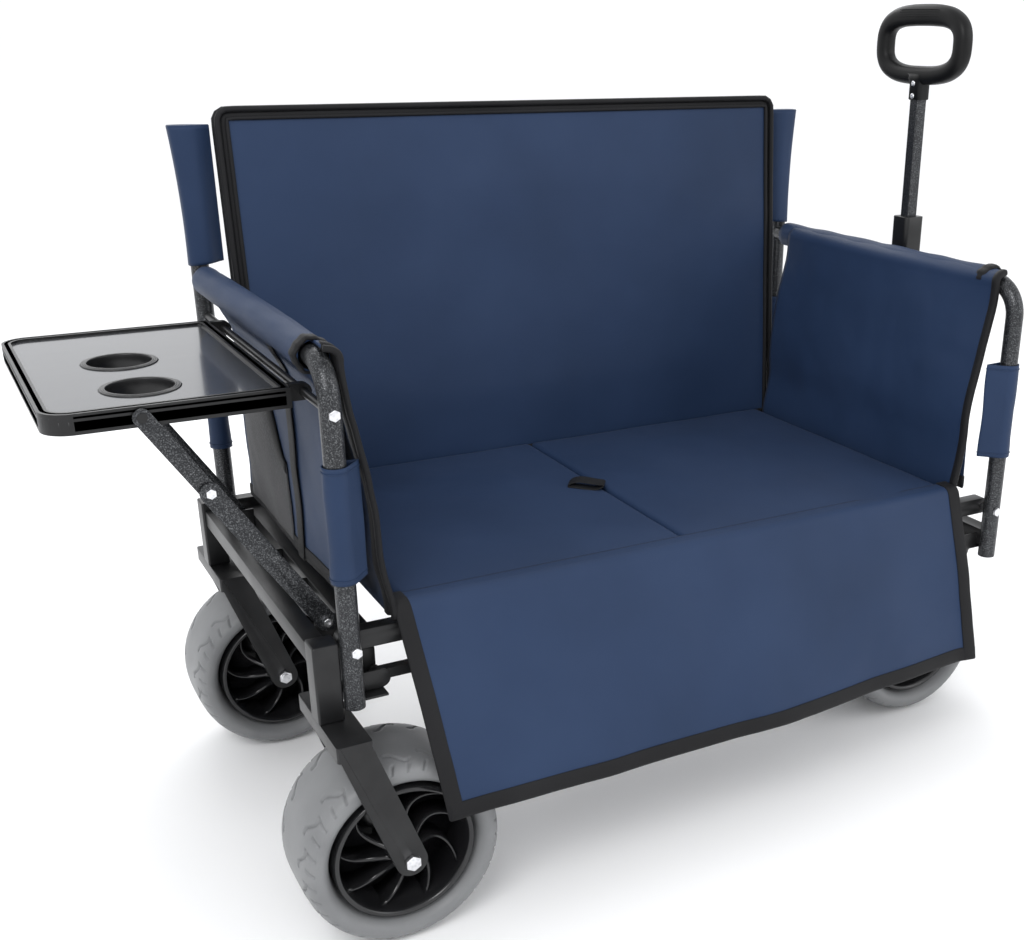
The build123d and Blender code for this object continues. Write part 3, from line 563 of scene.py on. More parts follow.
def place(obj, body, slot, *nodes):
    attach(obj, body)
    if nodes:
        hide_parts(*nodes)
    return obj


def body_of_node(node):
    for body, names in frame["record"]["behaviour"]["bodies"].items():
        if node in names:
            return body
    return "root"


SOFTENED = (    # material, slot, width of the broken edge, nodes
    (BLACK_STEEL, "black_steel", 0.0022, "left_blocks left_forks right_forks"),
    (BLACK_STEEL, "black_steel", 0.0016, "left_end_rails"),
    (BLACK_STEEL, "black_steel", 0.0007, "left_brackets"),
    (BLACK_STEEL, "black_steel", 0.0016, "right_cross_rail"),
    (BLACK_STEEL, "black_steel", 0.0014, "left_rails right_rails"),
    (BLACK_STEEL, "black_steel", 0.0007, "hub_frame"),
    (HAMMERED, "hammered_steel", 0.0007, "upper_braces lower_braces"),
    (PLASTIC_BLACK, "grip_black", 0.003, "handle_collar"),
    (PLASTIC_BLACK, "grip_black", 0.002, "handle_clip"),
    (ZINC, "zinc", 0.0006, "left_bolts right_bolts"),
    (ZINC, "zinc", 0.0009, "left_axles right_axles"),
)
for soft_material, soft_slot, soft_width, soft_names in SOFTENED:
    for soft_node in soft_names.split():
        soften(soft_node, soft_material, body_of_node(soft_node), soft_slot, soft_width)


# ---- soft goods ----
BACK_LOW, BACK_HIGH = corner_box("backrest")
SKIRT_BACK_Y = corner_box("skirt")[1].y
SEAT_Z = corner_box("left_seat_pad")[1].z
ARM_Z = sum(corner[2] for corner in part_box("left_arm_roll")) / 2
ROLL_R = (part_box("left_arm_roll")[1][0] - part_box("left_arm_roll")[0][0]) / 2


def inflate(obj, pinned, pressure, cap):
    """Cloth swells a closed piece between its pinned seams; the swollen shape is kept."""
    scene = bpy.context.scene
    rest = [v.co.copy() for v in obj.data.vertices]
    group = obj.vertex_groups.new(name="seams")
    group.add(pinned, 1.0, "REPLACE")
    cloth = obj.modifiers.new("cloth", "CLOTH")
    fabric = dict(quality=5, mass=0.25, tension_stiffness=20, compression_stiffness=20, shear_stiffness=8,
                  bending_stiffness=0.6, use_pressure=True, uniform_pressure_force=pressure,
                  vertex_group_mass="seams")
    for key, value in fabric.items():
        setattr(cloth.settings, key, value)
    cloth.settings.effector_weights.gravity = 0
    cloth.collision_settings.use_collision = False
    cloth.point_cache.frame_start = 1
    cloth.point_cache.frame_end = SWELL_STEPS
    for step in range(1, SWELL_STEPS + 1):
        scene.frame_set(step)
    graph = bpy.context.evaluated_depsgraph_get()
    swollen = [v.co.copy() for v in obj.evaluated_get(graph).data.vertices]
    obj.modifiers.clear()
    obj.vertex_groups.clear()
    scene.frame_set(1)
    for vertex, old, new in zip(obj.data.vertices, rest, swollen):
        move = new - old
        if move.length > cap:
            move = move.normalized() * cap
        vertex.co = old + move
    return obj


def boxed_pad(name, origin, u, v, w, size, count, radius, material, side_material=None):
    """A boxed cushion: two faces with rounded corners and a side strip; u, v and w are its axes.

    With a side material, the outermost cells of the first face wear it too, as a bound edge.
    Gives the piece, its pinned seam points, and the rims of the first and second face.
    """
    origin, u, v, w = Vector(origin), *(Vector(axis).normalized() for axis in (u, v, w))
    across, along, deep = size
    cols, rows = count

    def inside(s, t):
        """Pull the square's corners in to a rounded outline."""
        x, y = (s - 0.5) * across, (t - 0.5) * along
        limit_x, limit_y = across / 2 - radius, along / 2 - radius
        over_x, over_y = abs(x) - limit_x, abs(y) - limit_y
        if over_x > 0 and over_y > 0:
            reach = max(over_x, over_y)
            length = math.hypot(over_x, over_y)
            x = math.copysign(limit_x + over_x / length * reach, x)
            y = math.copysign(limit_y + over_y / length * reach, y)
        return x + across / 2, y + along / 2

    verts, faces, pinned, side_faces = [], [], [], []
    for face_depth in (0.0, deep):
        for i in range(rows):
            for j in range(cols):
                x, y = inside(j / (cols - 1), i / (rows - 1))
                if i in (0, rows - 1) or j in (0, cols - 1):
                    pinned.append(len(verts))
                verts.append(origin + u * x + v * y + w * face_depth)
    size_of_face = rows * cols
    for a, b, c, d in grid_faces(rows, cols):
        faces.append((a, b, c, d))
        faces.append((a + size_of_face, d + size_of_face, c + size_of_face, b + size_of_face))
    rim = list(range(cols))
    rim += [i * cols + cols - 1 for i in range(1, rows)]
    rim += [(rows - 1) * cols + j for j in range(cols - 2, -1, -1)]
    rim += [i * cols for i in range(rows - 2, 0, -1)]
    for k, a in enumerate(rim):
        b = rim[(k + 1) % len(rim)]
        side_faces.append(len(faces))
        faces.append((a, a + size_of_face, b + size_of_face, b))
    obj = outward(make_object(name, verts, faces, material))
    if side_material is not None:
        obj.data.materials.append(side_material)
        for index in side_faces:
            obj.data.polygons[index].material_index = 1
        for i in range(rows - 1):
            for j in range(cols - 1):
                if i in (0, rows - 2) or j in (0, cols - 2):
                    obj.data.polygons[2 * (i * (cols - 1) + j)].material_index = 1
    return obj, pinned, [verts[k] for k in rim], [verts[k + size_of_face] for k in rim]


def backrest():
    """Boxed panel: navy faces, black side strip, black piping round both faces."""
    lean, deep, corner = 0.038, 0.018, 0.016
    half = BACK_HIGH.x - 0.004
    low = Vector((-half, BACK_LOW.y, BACK_LOW.z))
    v_axis = Vector((0, lean, BACK_HIGH.z - BACK_LOW.z))
    size = (2 * half, v_axis.length - 0.006, deep)
    pad, pinned, front_rim, back_rim = boxed_pad(
        "backrest_pad", low, (1, 0, 0), v_axis, (0, 1, -0.07), size, BACK_CELLS, corner, NAVY, TAPE)
    inflate(pad, pinned, 2.4, 0.011)
    for vertex in pad.data.vertices:
        vertex.co.y += puckers(vertex.co, 5.0, 0.0016, 3.0)
    cols, rows = BACK_CELLS
    ring = [(1, j) for j in range(1, cols - 1)]
    ring += [(i, cols - 2) for i in range(2, rows - 1)]
    ring += [(rows - 2, j) for j in range(cols - 3, 0, -1)]
    ring += [(i, 1) for i in range(rows - 3, 1, -1)]
    inner_line = [pad.data.vertices[i * cols + j].co + Vector((0, -0.0012, 0)) for i, j in ring]
    pieces = [tube("backrest_inner_piping", inner_line, 0.0030, TAPE, closed=True), subdivide(pad)]
    for name, rim in (("front_piping", front_rim), ("back_piping", back_rim)):
        pieces.append(tube("backrest_" + name, rim, PIPING_R, TAPE, closed=True))
    whole = join("backrest_cushion", pieces)
    place(whole, "left_end", "navy_fabric", "backrest")
    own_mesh(whole)


def seat_half(name, side, seed):
    """One half of the seat: rounded along its outer end, swollen towards the seam in the middle."""
    low, high = corner_box(name + "_seat_pad")
    deep = high.z - low.z - 0.001
    gap = 0.0015
    x_low = low.x + gap if side < 0 else low.x - SEAM_FILL
    x_high = high.x + SEAM_FILL if side < 0 else high.x - gap
    size = (x_high - x_low, high.y - low.y - 2 * gap, deep)
    pad, pinned, _, _ = boxed_pad(
        name + "_seat", (x_low, low.y + gap, high.z - deep), (1, 0, 0), (0, 1, 0), (0, 0, 1), size,
        SEAT_CELLS, 0.006, NAVY)
    inflate(pad, pinned, 2.2, 0.007)
    end_x = x_high if side > 0 else x_low
    for vertex in pad.data.vertices:
        if vertex.co.z > high.z - deep / 2:
            vertex.co.z += puckers(vertex.co, 6.0, 0.0012, seed)
            short = PAD_ROUND - abs(end_x - vertex.co.x)
            if short > 0:
                vertex.co.z -= 0.9 * (PAD_ROUND - math.sqrt(max(0.0, PAD_ROUND ** 2 - short ** 2)))
    subdivide(pad)
    place(pad, name + "_seat", "navy_fabric", name + "_seat_pad")


def skirt_point(u, v):
    """u runs down the cloth from the seat, v from the table end to the handle end."""
    top_z = SEAT_Z + 0.0016
    bend_r = 0.014
    over = 0.016
    forward, down = SKIRT_RUN
    turn = math.atan2(down, forward)
    fall = math.hypot(down, forward) - 0.002
    start_y = SKIRT_BACK_Y + 0.011
    total = over + bend_r * turn + fall
    s = u * total
    if s < over:
        y, z = start_y + over - s, top_z
    elif s < over + bend_r * turn:
        angle = (s - over) / bend_r
        y, z = start_y - bend_r * math.sin(angle), top_z - bend_r + bend_r * math.cos(angle)
    else:
        run = s - over - bend_r * turn
        y = start_y - bend_r * math.sin(turn) - run * math.cos(turn)
        z = top_z - bend_r + bend_r * math.cos(turn) - run * math.sin(turn)
    drop = max(0.0, (s - over) / (total - over))
    left, right = -0.440 + 0.022 * drop, 0.440 + 0.006 * drop
    x = left + (right - left) * v
    flare = ease((v - 0.55) / 0.45) * drop
    y += flare * 0.030
    ripple = math.sin(v * 19.0 + 0.6) * 0.0022 + math.sin(v * 43.0) * 0.0008
    y += ripple * drop * (0.3 + 0.7 * v) + puckers((x, y, z), 7.0, 0.0022, 9.0) * min(1.0, 2 * drop)
    y -= math.sin(math.pi * min(1.0, drop)) * 0.004
    if v > 0.97:
        y -= (v - 0.97) / 0.03 * 0.006 * drop
    return Vector((x, y, z))


def sheet_edges(point, count, side):
    """Points, inward directions and normals along one side of a sheet: u0, u1, v0 or v1."""
    small = 0.01

    def spot(t, depth):
        inner = depth if side[1] == "0" else 1 - depth
        return point(inner, t) if side[0] == "u" else point(t, inner)

    edge, inward, normals = [], [], []
    for k in range(count):
        t = k / (count - 1)
        here = spot(t, 0.0)
        tangent = (spot(min(1.0, t + small), 0.0) - spot(max(0.0, t - small), 0.0)).normalized()
        direction = spot(t, small) - here
        direction = (direction - tangent * direction.dot(tangent)).normalized()
        edge.append(here)
        inward.append(direction)
        normals.append(tangent.cross(direction))
    return edge, inward, normals


def skirt():
    cloth = thicken(surface("skirt_cloth", 64, 110, skirt_point, NAVY), CLOTH_T, 0.0)
    trims = []
    for side, count in (("v0", 70), ("v1", 70), ("u1", 120)):
        trims.append(tape("skirt_binding_" + side, *sheet_edges(skirt_point, count, side), TAPE))
    hem = join("skirt_binding", trims)
    seam_line = [skirt_point(0.955, 0.60 + 0.4 * k / 40) + Vector((0, -0.0012, 0)) for k in range(40)]
    seam = tube("skirt_seam", seam_line, 0.0006, NAVY, ring=6)
    for obj, slot_name in ((cloth, "navy_fabric"), (hem, "black_fabric"), (seam, "navy_fabric")):
        place(obj, "left_end", slot_name)
    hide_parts("skirt")
    for obj in (cloth, hem, seam):
        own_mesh(obj)


def arm_profile(side, t):
    """Inner side panel in section: over the roll, then down to the seat."""
    angle_top = math.radians(100)
    angle_end = math.radians(188)
    wrap = 0.26
    r = ROLL_R + 0.0018
    if t < wrap:
        angle = angle_top + (angle_end - angle_top) * t / wrap
        reach = r - 0.0055 * (1 - ease(t / (0.8 * wrap)))
        x, z = POST_X + reach * math.cos(angle), ARM_Z + reach * math.sin(angle)
        return side * x, z
    start_x = POST_X + r * math.cos(angle_end)
    start_z = ARM_Z + r * math.sin(angle_end)
    f = (t - wrap) / (1 - wrap)
    end_z = SEAT_Z - 0.016
    x = start_x + (PANEL_X - start_x) * ease(f * 1.5) - 0.006 * math.sin(math.pi * f)
    x += (PANEL_FOOT_X - PANEL_X) * ease((f - 0.72) / 0.28)
    return side * x, start_z + (end_z - start_z) * f


def arm_panel(side, name):
    """Navy side panel that comes down from the armrest roll, with a bound front edge."""
    body = name + "_end"
    low, high = corner_box(name + "_arm_panel")

    def point(u, v):
        x, z = arm_profile(side, u)
        y = low.y + (high.y - low.y) * v
        front = ease(1 - v * 3.0) * math.sin(math.pi * min(1.0, 0.08 + u * 0.85))
        y -= 0.004 * front
        x += side * 0.003 * front
        loose = ease(u * 2.5) * (1 - ease((u - 0.8) / 0.2))
        x -= side * (puckers((x, y, z), 8.0, 0.0035, 5.0 + side) + 0.004 * math.sin(math.pi * v)) * loose
        return Vector((x, y, z))

    panel = thicken(surface(name + "_arm_cloth", 60, 70, point, NAVY), 0.004, 0.0)
    edge, inward, normals = sheet_edges(point, 60, "v0")
    lining = [p - i * 0.011 for p, i in zip(edge, inward)]
    trims = [tape(name + "_arm_edge", edge, inward, normals, TAPE, 0.013 if side < 0 else 0.010, 0.0042)]
    if side < 0:
        trims.append(tube(name + "_arm_piping", lining, 0.0040, TAPE))
    trim = join(name + "_arm_trim", trims)
    place(panel, body, "navy_fabric", name + "_arm_panel")
    place(trim, body, "black_fabric")
    for obj in (panel, trim):
        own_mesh(obj)


def arm_roll(side, name):
    """Fabric sleeve round the armrest tube, bound in black at its front end."""
    low, high = corner_box(name + "_arm_roll")

    def point(u, v):
        angle = math.tau * v
        y = low.y + (high.y - low.y) * u
        r = ROLL_R + puckers((math.cos(angle), y * 9, math.sin(angle)), 1.4, 0.0008, side)
        r += 0.0006 * math.sin(34 * u) * ease(math.sin(angle))
        return Vector((side * POST_X + r * math.cos(angle), y, ARM_Z + r * math.sin(angle)))

    cloth = surface(name + "_roll_cloth", 60, 48, point, NAVY, wrap=True)
    thicken(outward(cloth), 0.003, -1.0)
    profile = [(0.0175, -0.001), (0.0168, 0.0016), (0.012, 0.0024), (0.004, 0.0022), (-0.0008, 0.0012),
               (-0.0018, -0.0008), (-0.0004, -0.0026), (0.006, -0.0040), (0.0175, -0.0042)]

    def cuff(u, v):
        at, proud = profile[round(u * (len(profile) - 1))]
        angle = math.tau * v
        r = ROLL_R + proud
        r += 0.0007 * math.sin(5 * angle + side) + 0.0005 * math.sin(11 * angle)
        return Vector((side * POST_X + r * math.cos(angle), low.y + at, ARM_Z + r * math.sin(angle)))

    binding = outward(surface(name + "_roll_binding", len(profile), 72, cuff, TAPE, wrap=True))
    place(cloth, name + "_end", "navy_fabric", name + "_arm_roll")
    place(binding, name + "_end", "black_fabric")


def end_panel(side, name):
    """Outer cloth under the armrest, with a net pocket, a webbing strap and a bound lower edge."""
    low, high = corner_box(name + "_end_panel")
    top = ARM_Z - ROLL_R + 0.002
    x_low, x_top = 0.478, 0.497

    def point(u, v):
        z = top + (low.z - top) * u
        x = x_top + (x_low - x_top) * ease(u * 5.5)
        y = low.y + (high.y - low.y) * v
        x += puckers((x, y, z), 7.0, 0.003, 2.0) * ease(u * 3)
        return Vector((side * x, y, z))

    def over(offset):
        return lambda u, v: point(u, v) + Vector((side * offset, 0, 0))

    cloth = thicken(surface(name + "_end_cloth", 44, 60, point, NAVY), CLOTH_T, 0.0)
    pocket_top, pocket_low = 0.18, 0.97

    def pocket(u, v):
        slanted = pocket_top + (0.42 if v > 0.5 else 0.0) * ease((v - 0.5) * 2)
        spot = slanted + (pocket_low - slanted) * u
        sag = 0.010 * math.sin(math.pi * u) * math.sin(math.pi * v)
        return over(0.0022 + sag)(spot, 0.50 + 0.46 * (1 - v))

    net = thicken(surface(name + "_pocket", 30, 36, pocket, NET), CLOTH_T, 0.0)
    trims = [tape(name + "_pocket_lip", *sheet_edges(pocket, 36, "u0"), TAPE, 0.014, 0.002),
             tape(name + "_end_hem", *sheet_edges(point, 60, "u1"), TAPE, 0.018, 0.0024)]
    strap_at, strap_w = 0.42, 0.022
    line = [over(0.0032)(k / 30, strap_at) + Vector((0, -strap_w / 2, 0)) for k in range(31)]
    trims.append(tape(name + "_end_strap", line, [(0, 1, 0)] * 31, [(side, 0, 0)] * 31, WEBBING, strap_w, 0.0012))
    trim = join(name + "_end_trim", trims)
    place(cloth, name + "_end", "navy_fabric", name + "_end_panel")
    place(net, name + "_end", "black_fabric")
    place(trim, name + "_end", "black_fabric")
    for obj in (cloth, net, trim):
        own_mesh(obj)


def sleeve_outline(x, y, side, flap):
    """Plan of a sleeve: round the post, and for a front post drawn out to a flat edge towards the seat."""
    r, reach = SLEEVE_R, FLAP_REACH
    if not flap:
        return [(x + r * math.cos(a), y + r * math.sin(a)) for a in (math.tau * k / 40 for k in range(40))]
    turn = math.pi - math.acos(r / reach)
    points = []
    for k in range(29):
        a = -turn + 2 * turn * k / 28
        points.append((r * math.cos(a), r * math.sin(a)))
    start_u, start_w = points[-1]
    for k in range(1, 13):
        t = k / 12
        points.append((start_u + (-reach - start_u) * t, start_w + (FLAP_HALF - start_w) * t))
    points.append((-reach - 0.0012, 0.0))
    for k in range(12):
        t = k / 12
        points.append((-reach + (start_u + reach) * t, -FLAP_HALF + (-start_w + FLAP_HALF) * t))
    c, s = math.cos(FLAP_TURN), math.sin(FLAP_TURN)
    return [(x + side * (u * c + w * s), y + w * c - u * s) for u, w in points]


def post_sleeves(side, name):
    """Cloth sleeves: low ones that wrap the posts and wide flat ones beside the backrest."""
    x = side * POST_X
    pieces = []
    for y, seed in ((-POST_Y, 1.0), (POST_Y, 2.0)):
        outline = sleeve_outline(x, y, side, y < 0)

        def point(u, v, y=y, seed=seed, outline=outline):
            px, py = outline[round(v * len(outline)) % len(outline)]
            z = SLEEVE_LOW_Z + SLEEVE_LEN * u
            away = Vector((px - x, py - y, 0))
            shift = 0.0006 * math.sin(9 * u + seed) + puckers((px * 12, py * 12, z * 9), 2.0, 0.0009, seed)
            far = min(1.0, max(0.0, (away.length - 0.016) / 0.02))
            sway = 0.0012 * far * math.sin(2.6 * math.pi * u + seed)
            return Vector((px, py + sway, z)) + away.normalized() * max(-0.0002, shift) * (1 - far)

        sleeve = surface("sleeve", 40, len(outline), point, NAVY, wrap=True)
        pieces.append(thicken(outward(sleeve), 0.0012, -1.0))
        for u in (0.045, 0.955):
            line = [point(u, k / len(outline)) for k in range(len(outline))]
            centre = Vector((x, y, line[0].z))
            line = [p + (p - centre).normalized() * 0.0003 for p in line]
            pieces.append(tube("hem", line, 0.0007, NAVY, closed=True, ring=6))
    inner = WING_IN_X

    def wing_point(u, v):
        angle = math.tau * v
        c, s = math.cos(angle), math.sin(angle)
        outer = 0.5150 + 0.0075 * u * u - 0.0012 * math.sin(math.pi * u)
        px = (inner + outer) / 2 + powered(c, 0.8) * (outer - inner) / 2
        near = (px - inner) / (outer - inner)
        half_y = 0.004 + 0.0112 * ease(near * 1.8)
        py = powered(s, 0.6) * half_y
        py += puckers((px * 4, py * 4, WING_LOW + 0.185 * u), 6.0, 0.0010, side + 4.0)
        z = WING_LOW + (WING_HIGH - WING_LOW) * u + 0.004 * (0.5 - near) * (1 - u)
        return Vector((side * px, POST_Y + py, z))

    wing = surface("wing", 40, 56, wing_point, NAVY, wrap=True)
    pieces.append(thicken(outward(wing), 0.0014, -1.0))
    lid = []
    ring = [wing_point(1.0, k / 56) for k in range(56)]
    mid_x = side * (inner + 0.5225) / 2
    for lift, share in ((-0.0012, 0.97), (0.0, 0.995), (0.0012, 0.97)):
        lid.append([Vector((mid_x + (p.x - mid_x) * share, POST_Y + (p.y - POST_Y) * share, WING_HIGH + lift))
                    for p in ring])
    pieces.append(loft("wing_top", lid, NAVY))
    whole = join(name + "_sleeve_cloth", pieces)
    place(whole, name + "_end", "navy_fabric", name + "_sleeves")


def pull_loop():
    """Webbing loop lying on the seam, folded back on itself."""
    low, high = corner_box("pull_loop")
    mid = (low + high) / 2
    half_x = (high.x - low.x) / 2
    height = high.z - low.z
    turn = math.radians(-34)
    line = []
    for k in range(49):
        angle = math.tau * k / 48
        reach = half_x * 1.15 * math.cos(angle)
        lift = height * (0.36 + 0.3 * math.sin(angle)) + 0.0015 * math.cos(3 * angle)
        line.append(Vector((reach, 0, low.z + 0.0016 + lift * 0.8)))
    spin = Matrix.Rotation(turn, 4, "Z")
    centre = Vector((mid.x, mid.y - 0.002, 0))
    edge, inward, normals = [], [], []
    for k, p in enumerate(line):
        ahead, behind = line[(k + 1) % 48], line[(k - 1) % 48]
        tangent = (ahead - behind).normalized()
        swing = math.sin(math.tau * k / 48)
        edge.append(spin @ Vector((p.x, -0.011 + 0.004 * swing, p.z)) + centre)
        inward.append(spin @ Vector((0, 1, 0.05 * swing)))
        normals.append(spin @ tangent.cross(Vector((0, 1, 0))))
    loop = tape("pull_loop_webbing", edge, inward, normals, WEBBING, 0.022, 0.0009)
    place(loop, "left_seat", "black_fabric", "pull_loop")


backrest()
seat_half("left", -1, 1.0)
seat_half("right", 1, 2.0)
skirt()
for arm_side, arm_name in ((-1, "left"), (1, "right")):
    arm_panel(arm_side, arm_name)
    arm_roll(arm_side, arm_name)
    end_panel(arm_side, arm_name)
    post_sleeves(arm_side, arm_name)
pull_loop()


# ---- wheels ----
def tyre_profile(half_width, inner, outer, count=128):
    """Balloon section: nearly flat tread, full round shoulders, tucked-in beads."""
    points = []
    middle, half_height = (inner + outer) / 2, (outer - inner) / 2
    for k in range(count):
        angle = math.tau * k / count
        c, s = math.cos(angle), math.sin(angle)
        y = powered(c, 0.55 if s > 0 else 0.8) * half_width
        r = middle + powered(s, 0.75) * half_height
        if s < 0:
            y *= 1 - 0.12 * abs(s)
        points.append((y, r))
    return points


def tread(half_width, middle):
    """Shallow moulded slits: curved ones on the shoulders and small lug notches at the sides."""
    def shift(angle, y, r):
        if r < middle:
            return 0.0
        side = 1 if y > 0 else -1
        place_y = abs(y) / half_width
        cut = 0.0
        turns = (angle / math.tau * 18 + (0.25 if side > 0 else 0.0)) % 1.0
        slit = 0.62 + 0.13 * math.sin(math.tau * turns)
        if 0.12 < turns < 0.80:
            cut = max(cut, 1.3 - abs(place_y - slit) / 0.028)
        lugs = (angle / math.tau * 36 + (0.5 if side > 0 else 0.0)) % 1.0
        if 0.80 < place_y < 0.975:
            slant = 0.5 + (place_y - 0.88) * 1.6
            cut = max(cut, 1.2 - abs(lugs - slant) / 0.085)
        return -0.0034 * ease(cut)
    return shift


def mirrored(half):
    """A closed outline from its half at one side of the wheel."""
    return half + [(-y, r) for y, r in reversed(half)]


def wheel(name):
    """Balloon tyre, and a moulded rim of ring, hub with web, and curved spokes on both sides."""
    low, high = corner_box(name + "_tyre")
    centre = (low + high) / 2
    outer = (high.z - low.z) / 2
    half = (high.y - low.y) / 2
    outline = tyre_profile(half, BEAD_R, outer)
    tyre = lathe(name + "_balloon", centre, outline, WHEEL_STEPS, TYRE, tread(half, (BEAD_R + outer) / 2))
    body = name + "_wheel"
    place(tyre, body, "tyre_grey", name + "_tyre")

    ring = [(-0.054, 0.0905), (-0.057, 0.0895), (-0.058, 0.0865), (-0.056, 0.0835), (-0.050, 0.082), (-0.020, 0.0795)]
    hub = [(-0.061, 0.0065), (-0.061, 0.016), (-0.059, 0.0185), (-0.045, 0.0205), (-0.012, 0.024), (-0.004, 0.030),
           (-0.002, 0.081)]
    pieces = [lathe("ring", centre, mirrored(ring), 128, GLOSS), lathe("hub", centre, mirrored(hub), 96, GLOSS)]
    outline = [(-1, 0.0), (-0.9, 0.9), (-0.5, 1.0), (0.5, 1.0), (0.9, 0.9), (1, 0.0)]
    for side in (-1, 1):
        for k in range(SPOKES):
            base = math.tau * k / SPOKES
            sections = []
            for step in range(13):
                t = step / 12
                r = 0.019 + 0.0625 * t
                angle = base + side * 0.55 * t * t
                direction = Vector((math.cos(angle), 0, math.sin(angle)))
                cross = Vector((-math.sin(angle), 0, math.cos(angle)))
                crest = 0.050 - 0.018 * math.sin(math.pi * t * 0.9)
                thick = 0.0030 + 0.0018 * (1 - t)
                spot = centre + direction * r
                sections.append([spot + cross * (thick * a) + Vector((0, side * crest * b, 0)) for a, b in outline])
            pieces.append(loft("spoke", sections, GLOSS))
    rim = join(name + "_moulded_rim", pieces)
    place(rim, body, "rim_black", name + "_rim")


for wheel_name in ("left_front", "left_back", "right_front", "right_back"):
    wheel(wheel_name)


# ---- side table ----
def record_point(mount):
    for entry in frame["record"]["mounts"]:
        if entry["name"] == mount:
            return Vector(entry["pos_m"])
    raise ValueError(mount)


def rounded_outline(x0, x1, y_half, radius, steps=10):
    """Plan of the table: two rounded corners at the outer edge, small ones at the end frame."""
    near = 0.006
    points = []
    corners = ((x0, -y_half, radius, math.pi), (x1, -y_half, near, 1.5 * math.pi),
               (x1, y_half, near, 0.0), (x0, y_half, radius, 0.5 * math.pi))
    for cx, cy, r, start in corners:
        mx = cx + (r if cx == x0 else -r)
        my = cy + (r if cy < 0 else -r)
        for k in range(steps + 1):
            angle = start + 0.5 * math.pi * k / steps
            points.append((mx + r * math.cos(angle), my + r * math.sin(angle)))
    return points


def table():
    """Moulded rim round the panel, and the flanges of the two cup holes."""
    low, high = corner_box("table_tray")
    inset_low, inset_high = corner_box("table_inset")
    top = high.z
    levels = [(0.0035, low.z), (0.0008, low.z + 0.0015), (0.0, low.z + 0.004), (0.0, top - 0.0085),
              (0.0016, top - 0.0078), (0.0016, top - 0.0062), (0.0, top - 0.0055), (0.0, top - 0.003),
              (0.0010, top - 0.0010), (0.0032, top), (0.0078, top), (0.0098, top - 0.0008),
              (TABLE_RIM_W, inset_high.z - 0.0006), (TABLE_RIM_W, inset_low.z)]
    sections = []
    for inward, z in levels:
        ring = rounded_outline(low.x + inward, high.x - inward, high.y - inward, TABLE_ROUND - inward)
        sections.append([Vector((x, y, z)) for x, y in ring])
    rim = loft("table_rim", sections, PLASTIC_BLACK, closed=True)
    place(rim, "table", "table_black")
    flange = [(-0.028, 0.037), (0.0, 0.037), (0.0016, 0.0375), (0.0021, 0.0385), (0.0016, 0.0395), (0.0012, 0.0402),
              (0.0018, 0.0409), (0.0018, 0.0418), (0.0010, 0.0424), (0.0014, 0.0431), (0.0012, 0.0440),
              (0.0002, 0.0448), (-0.001, 0.0448), (-0.001, 0.0400), (-0.028, 0.0400)]
    rings = []
    for mount in ("front_cup", "back_cup"):
        centre = record_point(mount)
        centre.z = inset_high.z
        rings.append(lathe("ring", centre, flange, 96, PLASTIC_BLACK, upright=True))
    cups = join("cup_liners", rings)
    place(cups, "table", "table_black", "cup_rings")


table()


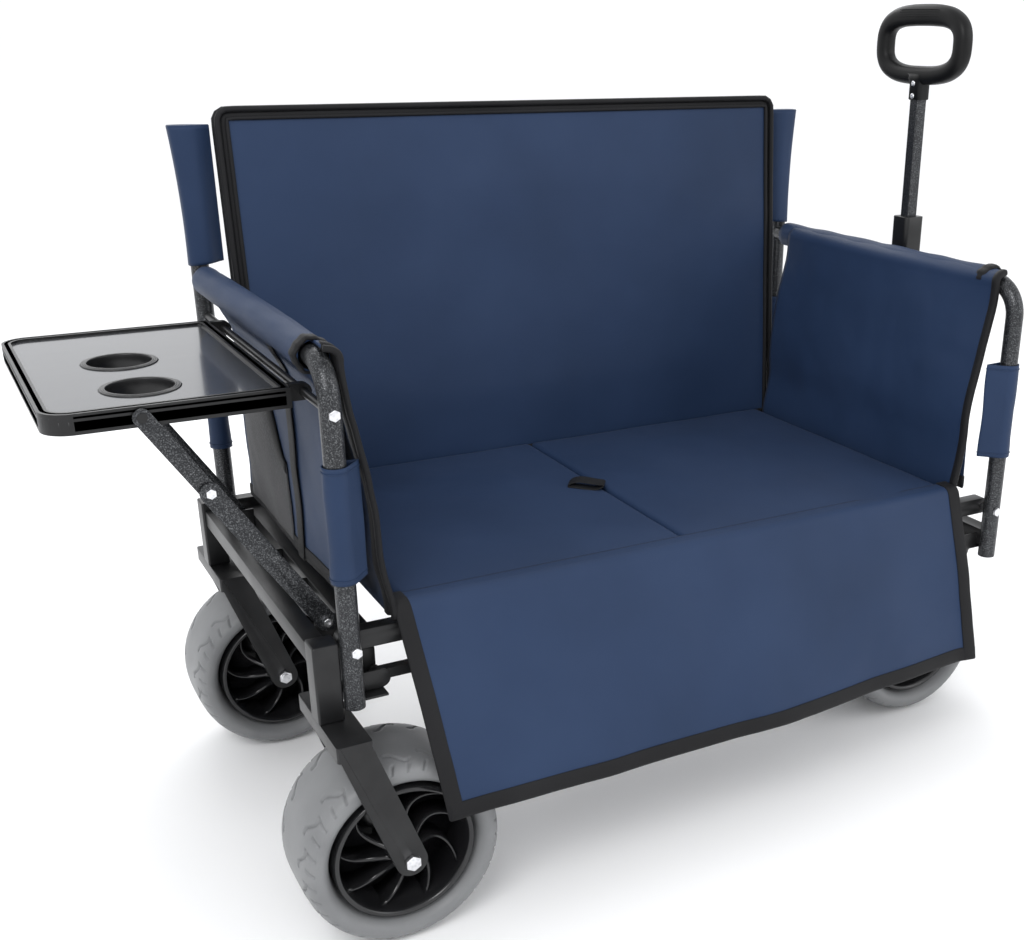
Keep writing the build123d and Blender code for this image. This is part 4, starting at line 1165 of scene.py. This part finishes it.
# ---- pull handle ----
def grip():
    """Closed loop grip: oval section, fuller at the top bar, dotted patch and two screws."""
    low, high = corner_box("handle_grip")
    x = (low.x + high.x) / 2
    loop_r = (high.x - low.x) / 2
    centre_z = high.z - GRIP_HALF_Z
    half_y, half_z = high.y - loop_r, GRIP_HALF_Z - loop_r
    line = []
    count = 120
    for k in range(count):
        angle = math.tau * k / count
        c, s = math.cos(angle), math.sin(angle)
        line.append(Vector((x, powered(c, 0.68) * half_y, centre_z + powered(s, 0.70) * half_z)))
    sections = []
    for k, spot in enumerate(line):
        ahead, behind = line[(k + 1) % count], line[k - 1]
        tangent = (ahead - behind).normalized()
        out = tangent.cross(Vector((1, 0, 0))).normalized()
        if out.dot(spot - Vector((x, 0, centre_z))) < 0:
            out = -out
        top = ease((spot.z - centre_z) / half_z) * ease(1.25 - abs(spot.y) / half_y)
        ring = []
        for j in range(20):
            a = math.tau * j / 20
            c, s = math.cos(a), math.sin(a)
            across = powered(c, 0.8) * loop_r * 0.98
            radial = powered(s, 0.85) * loop_r
            if s < 0:
                radial *= 1 + 0.28 * top
            ring.append(spot + Vector((across, 0, 0)) + out * radial)
        sections.append(ring)
    loop = loft("loop", sections, GRIP_BLACK, closed=True)
    bottom = low.z
    levels = [(-0.0012, 0.0), (0.0, 0.0012), (0.0, 0.022), (0.0035, 0.030), (0.009, 0.038)]
    sections = []
    for wider, rise in levels:
        half, z = GRIP_SOCKET_HALF + wider, bottom + rise
        ring = []
        for j in range(24):
            a = math.tau * j / 24 + math.pi / 24
            c, s = math.cos(a), math.sin(a)
            reach = (abs(c) ** 5 + abs(s) ** 5) ** (-1 / 5)
            ring.append(Vector((x + c * reach * min(half, 0.0135), s * reach * half, z)))
        sections.append(ring)
    socket = loft("socket", sections, GRIP_BLACK)
    studs = bmesh.new()
    for row in range(4):
        for col in range(26):
            spot = (x - loop_r * 0.98 + 0.0004, -0.042 + DOT_PITCH * col, centre_z + half_z - 0.0045 + DOT_PITCH * row)
            bmesh.ops.create_icosphere(studs, subdivisions=1, radius=0.00085, matrix=Matrix.Translation(spot))
    mesh = bpy.data.meshes.new("studs")
    studs.to_mesh(mesh)
    studs.free()
    mesh.materials.append(GRIP_BLACK)
    stud_obj = add_object("studs", mesh)
    whole = join("grip_moulding", [loop, socket, stud_obj])
    place(whole, "handle_upper", "grip_black", "handle_grip")
    screws = []
    for z in (bottom + 0.006, bottom + 0.024):
        sections = []
        for out, r in ((0.0, 0.0042), (0.0012, 0.0038), (0.0018, 0.0026), (0.0014, 0.0010)):
            turns = [math.tau * j / 16 for j in range(16)]
            sections.append([Vector((x - GRIP_SOCKET_HALF - out, r * math.cos(a), z + r * math.sin(a))) for a in turns])
        screws.append(loft("screw", sections, ZINC))
    place(join("grip_screws", screws), "handle_upper", "zinc")


grip()
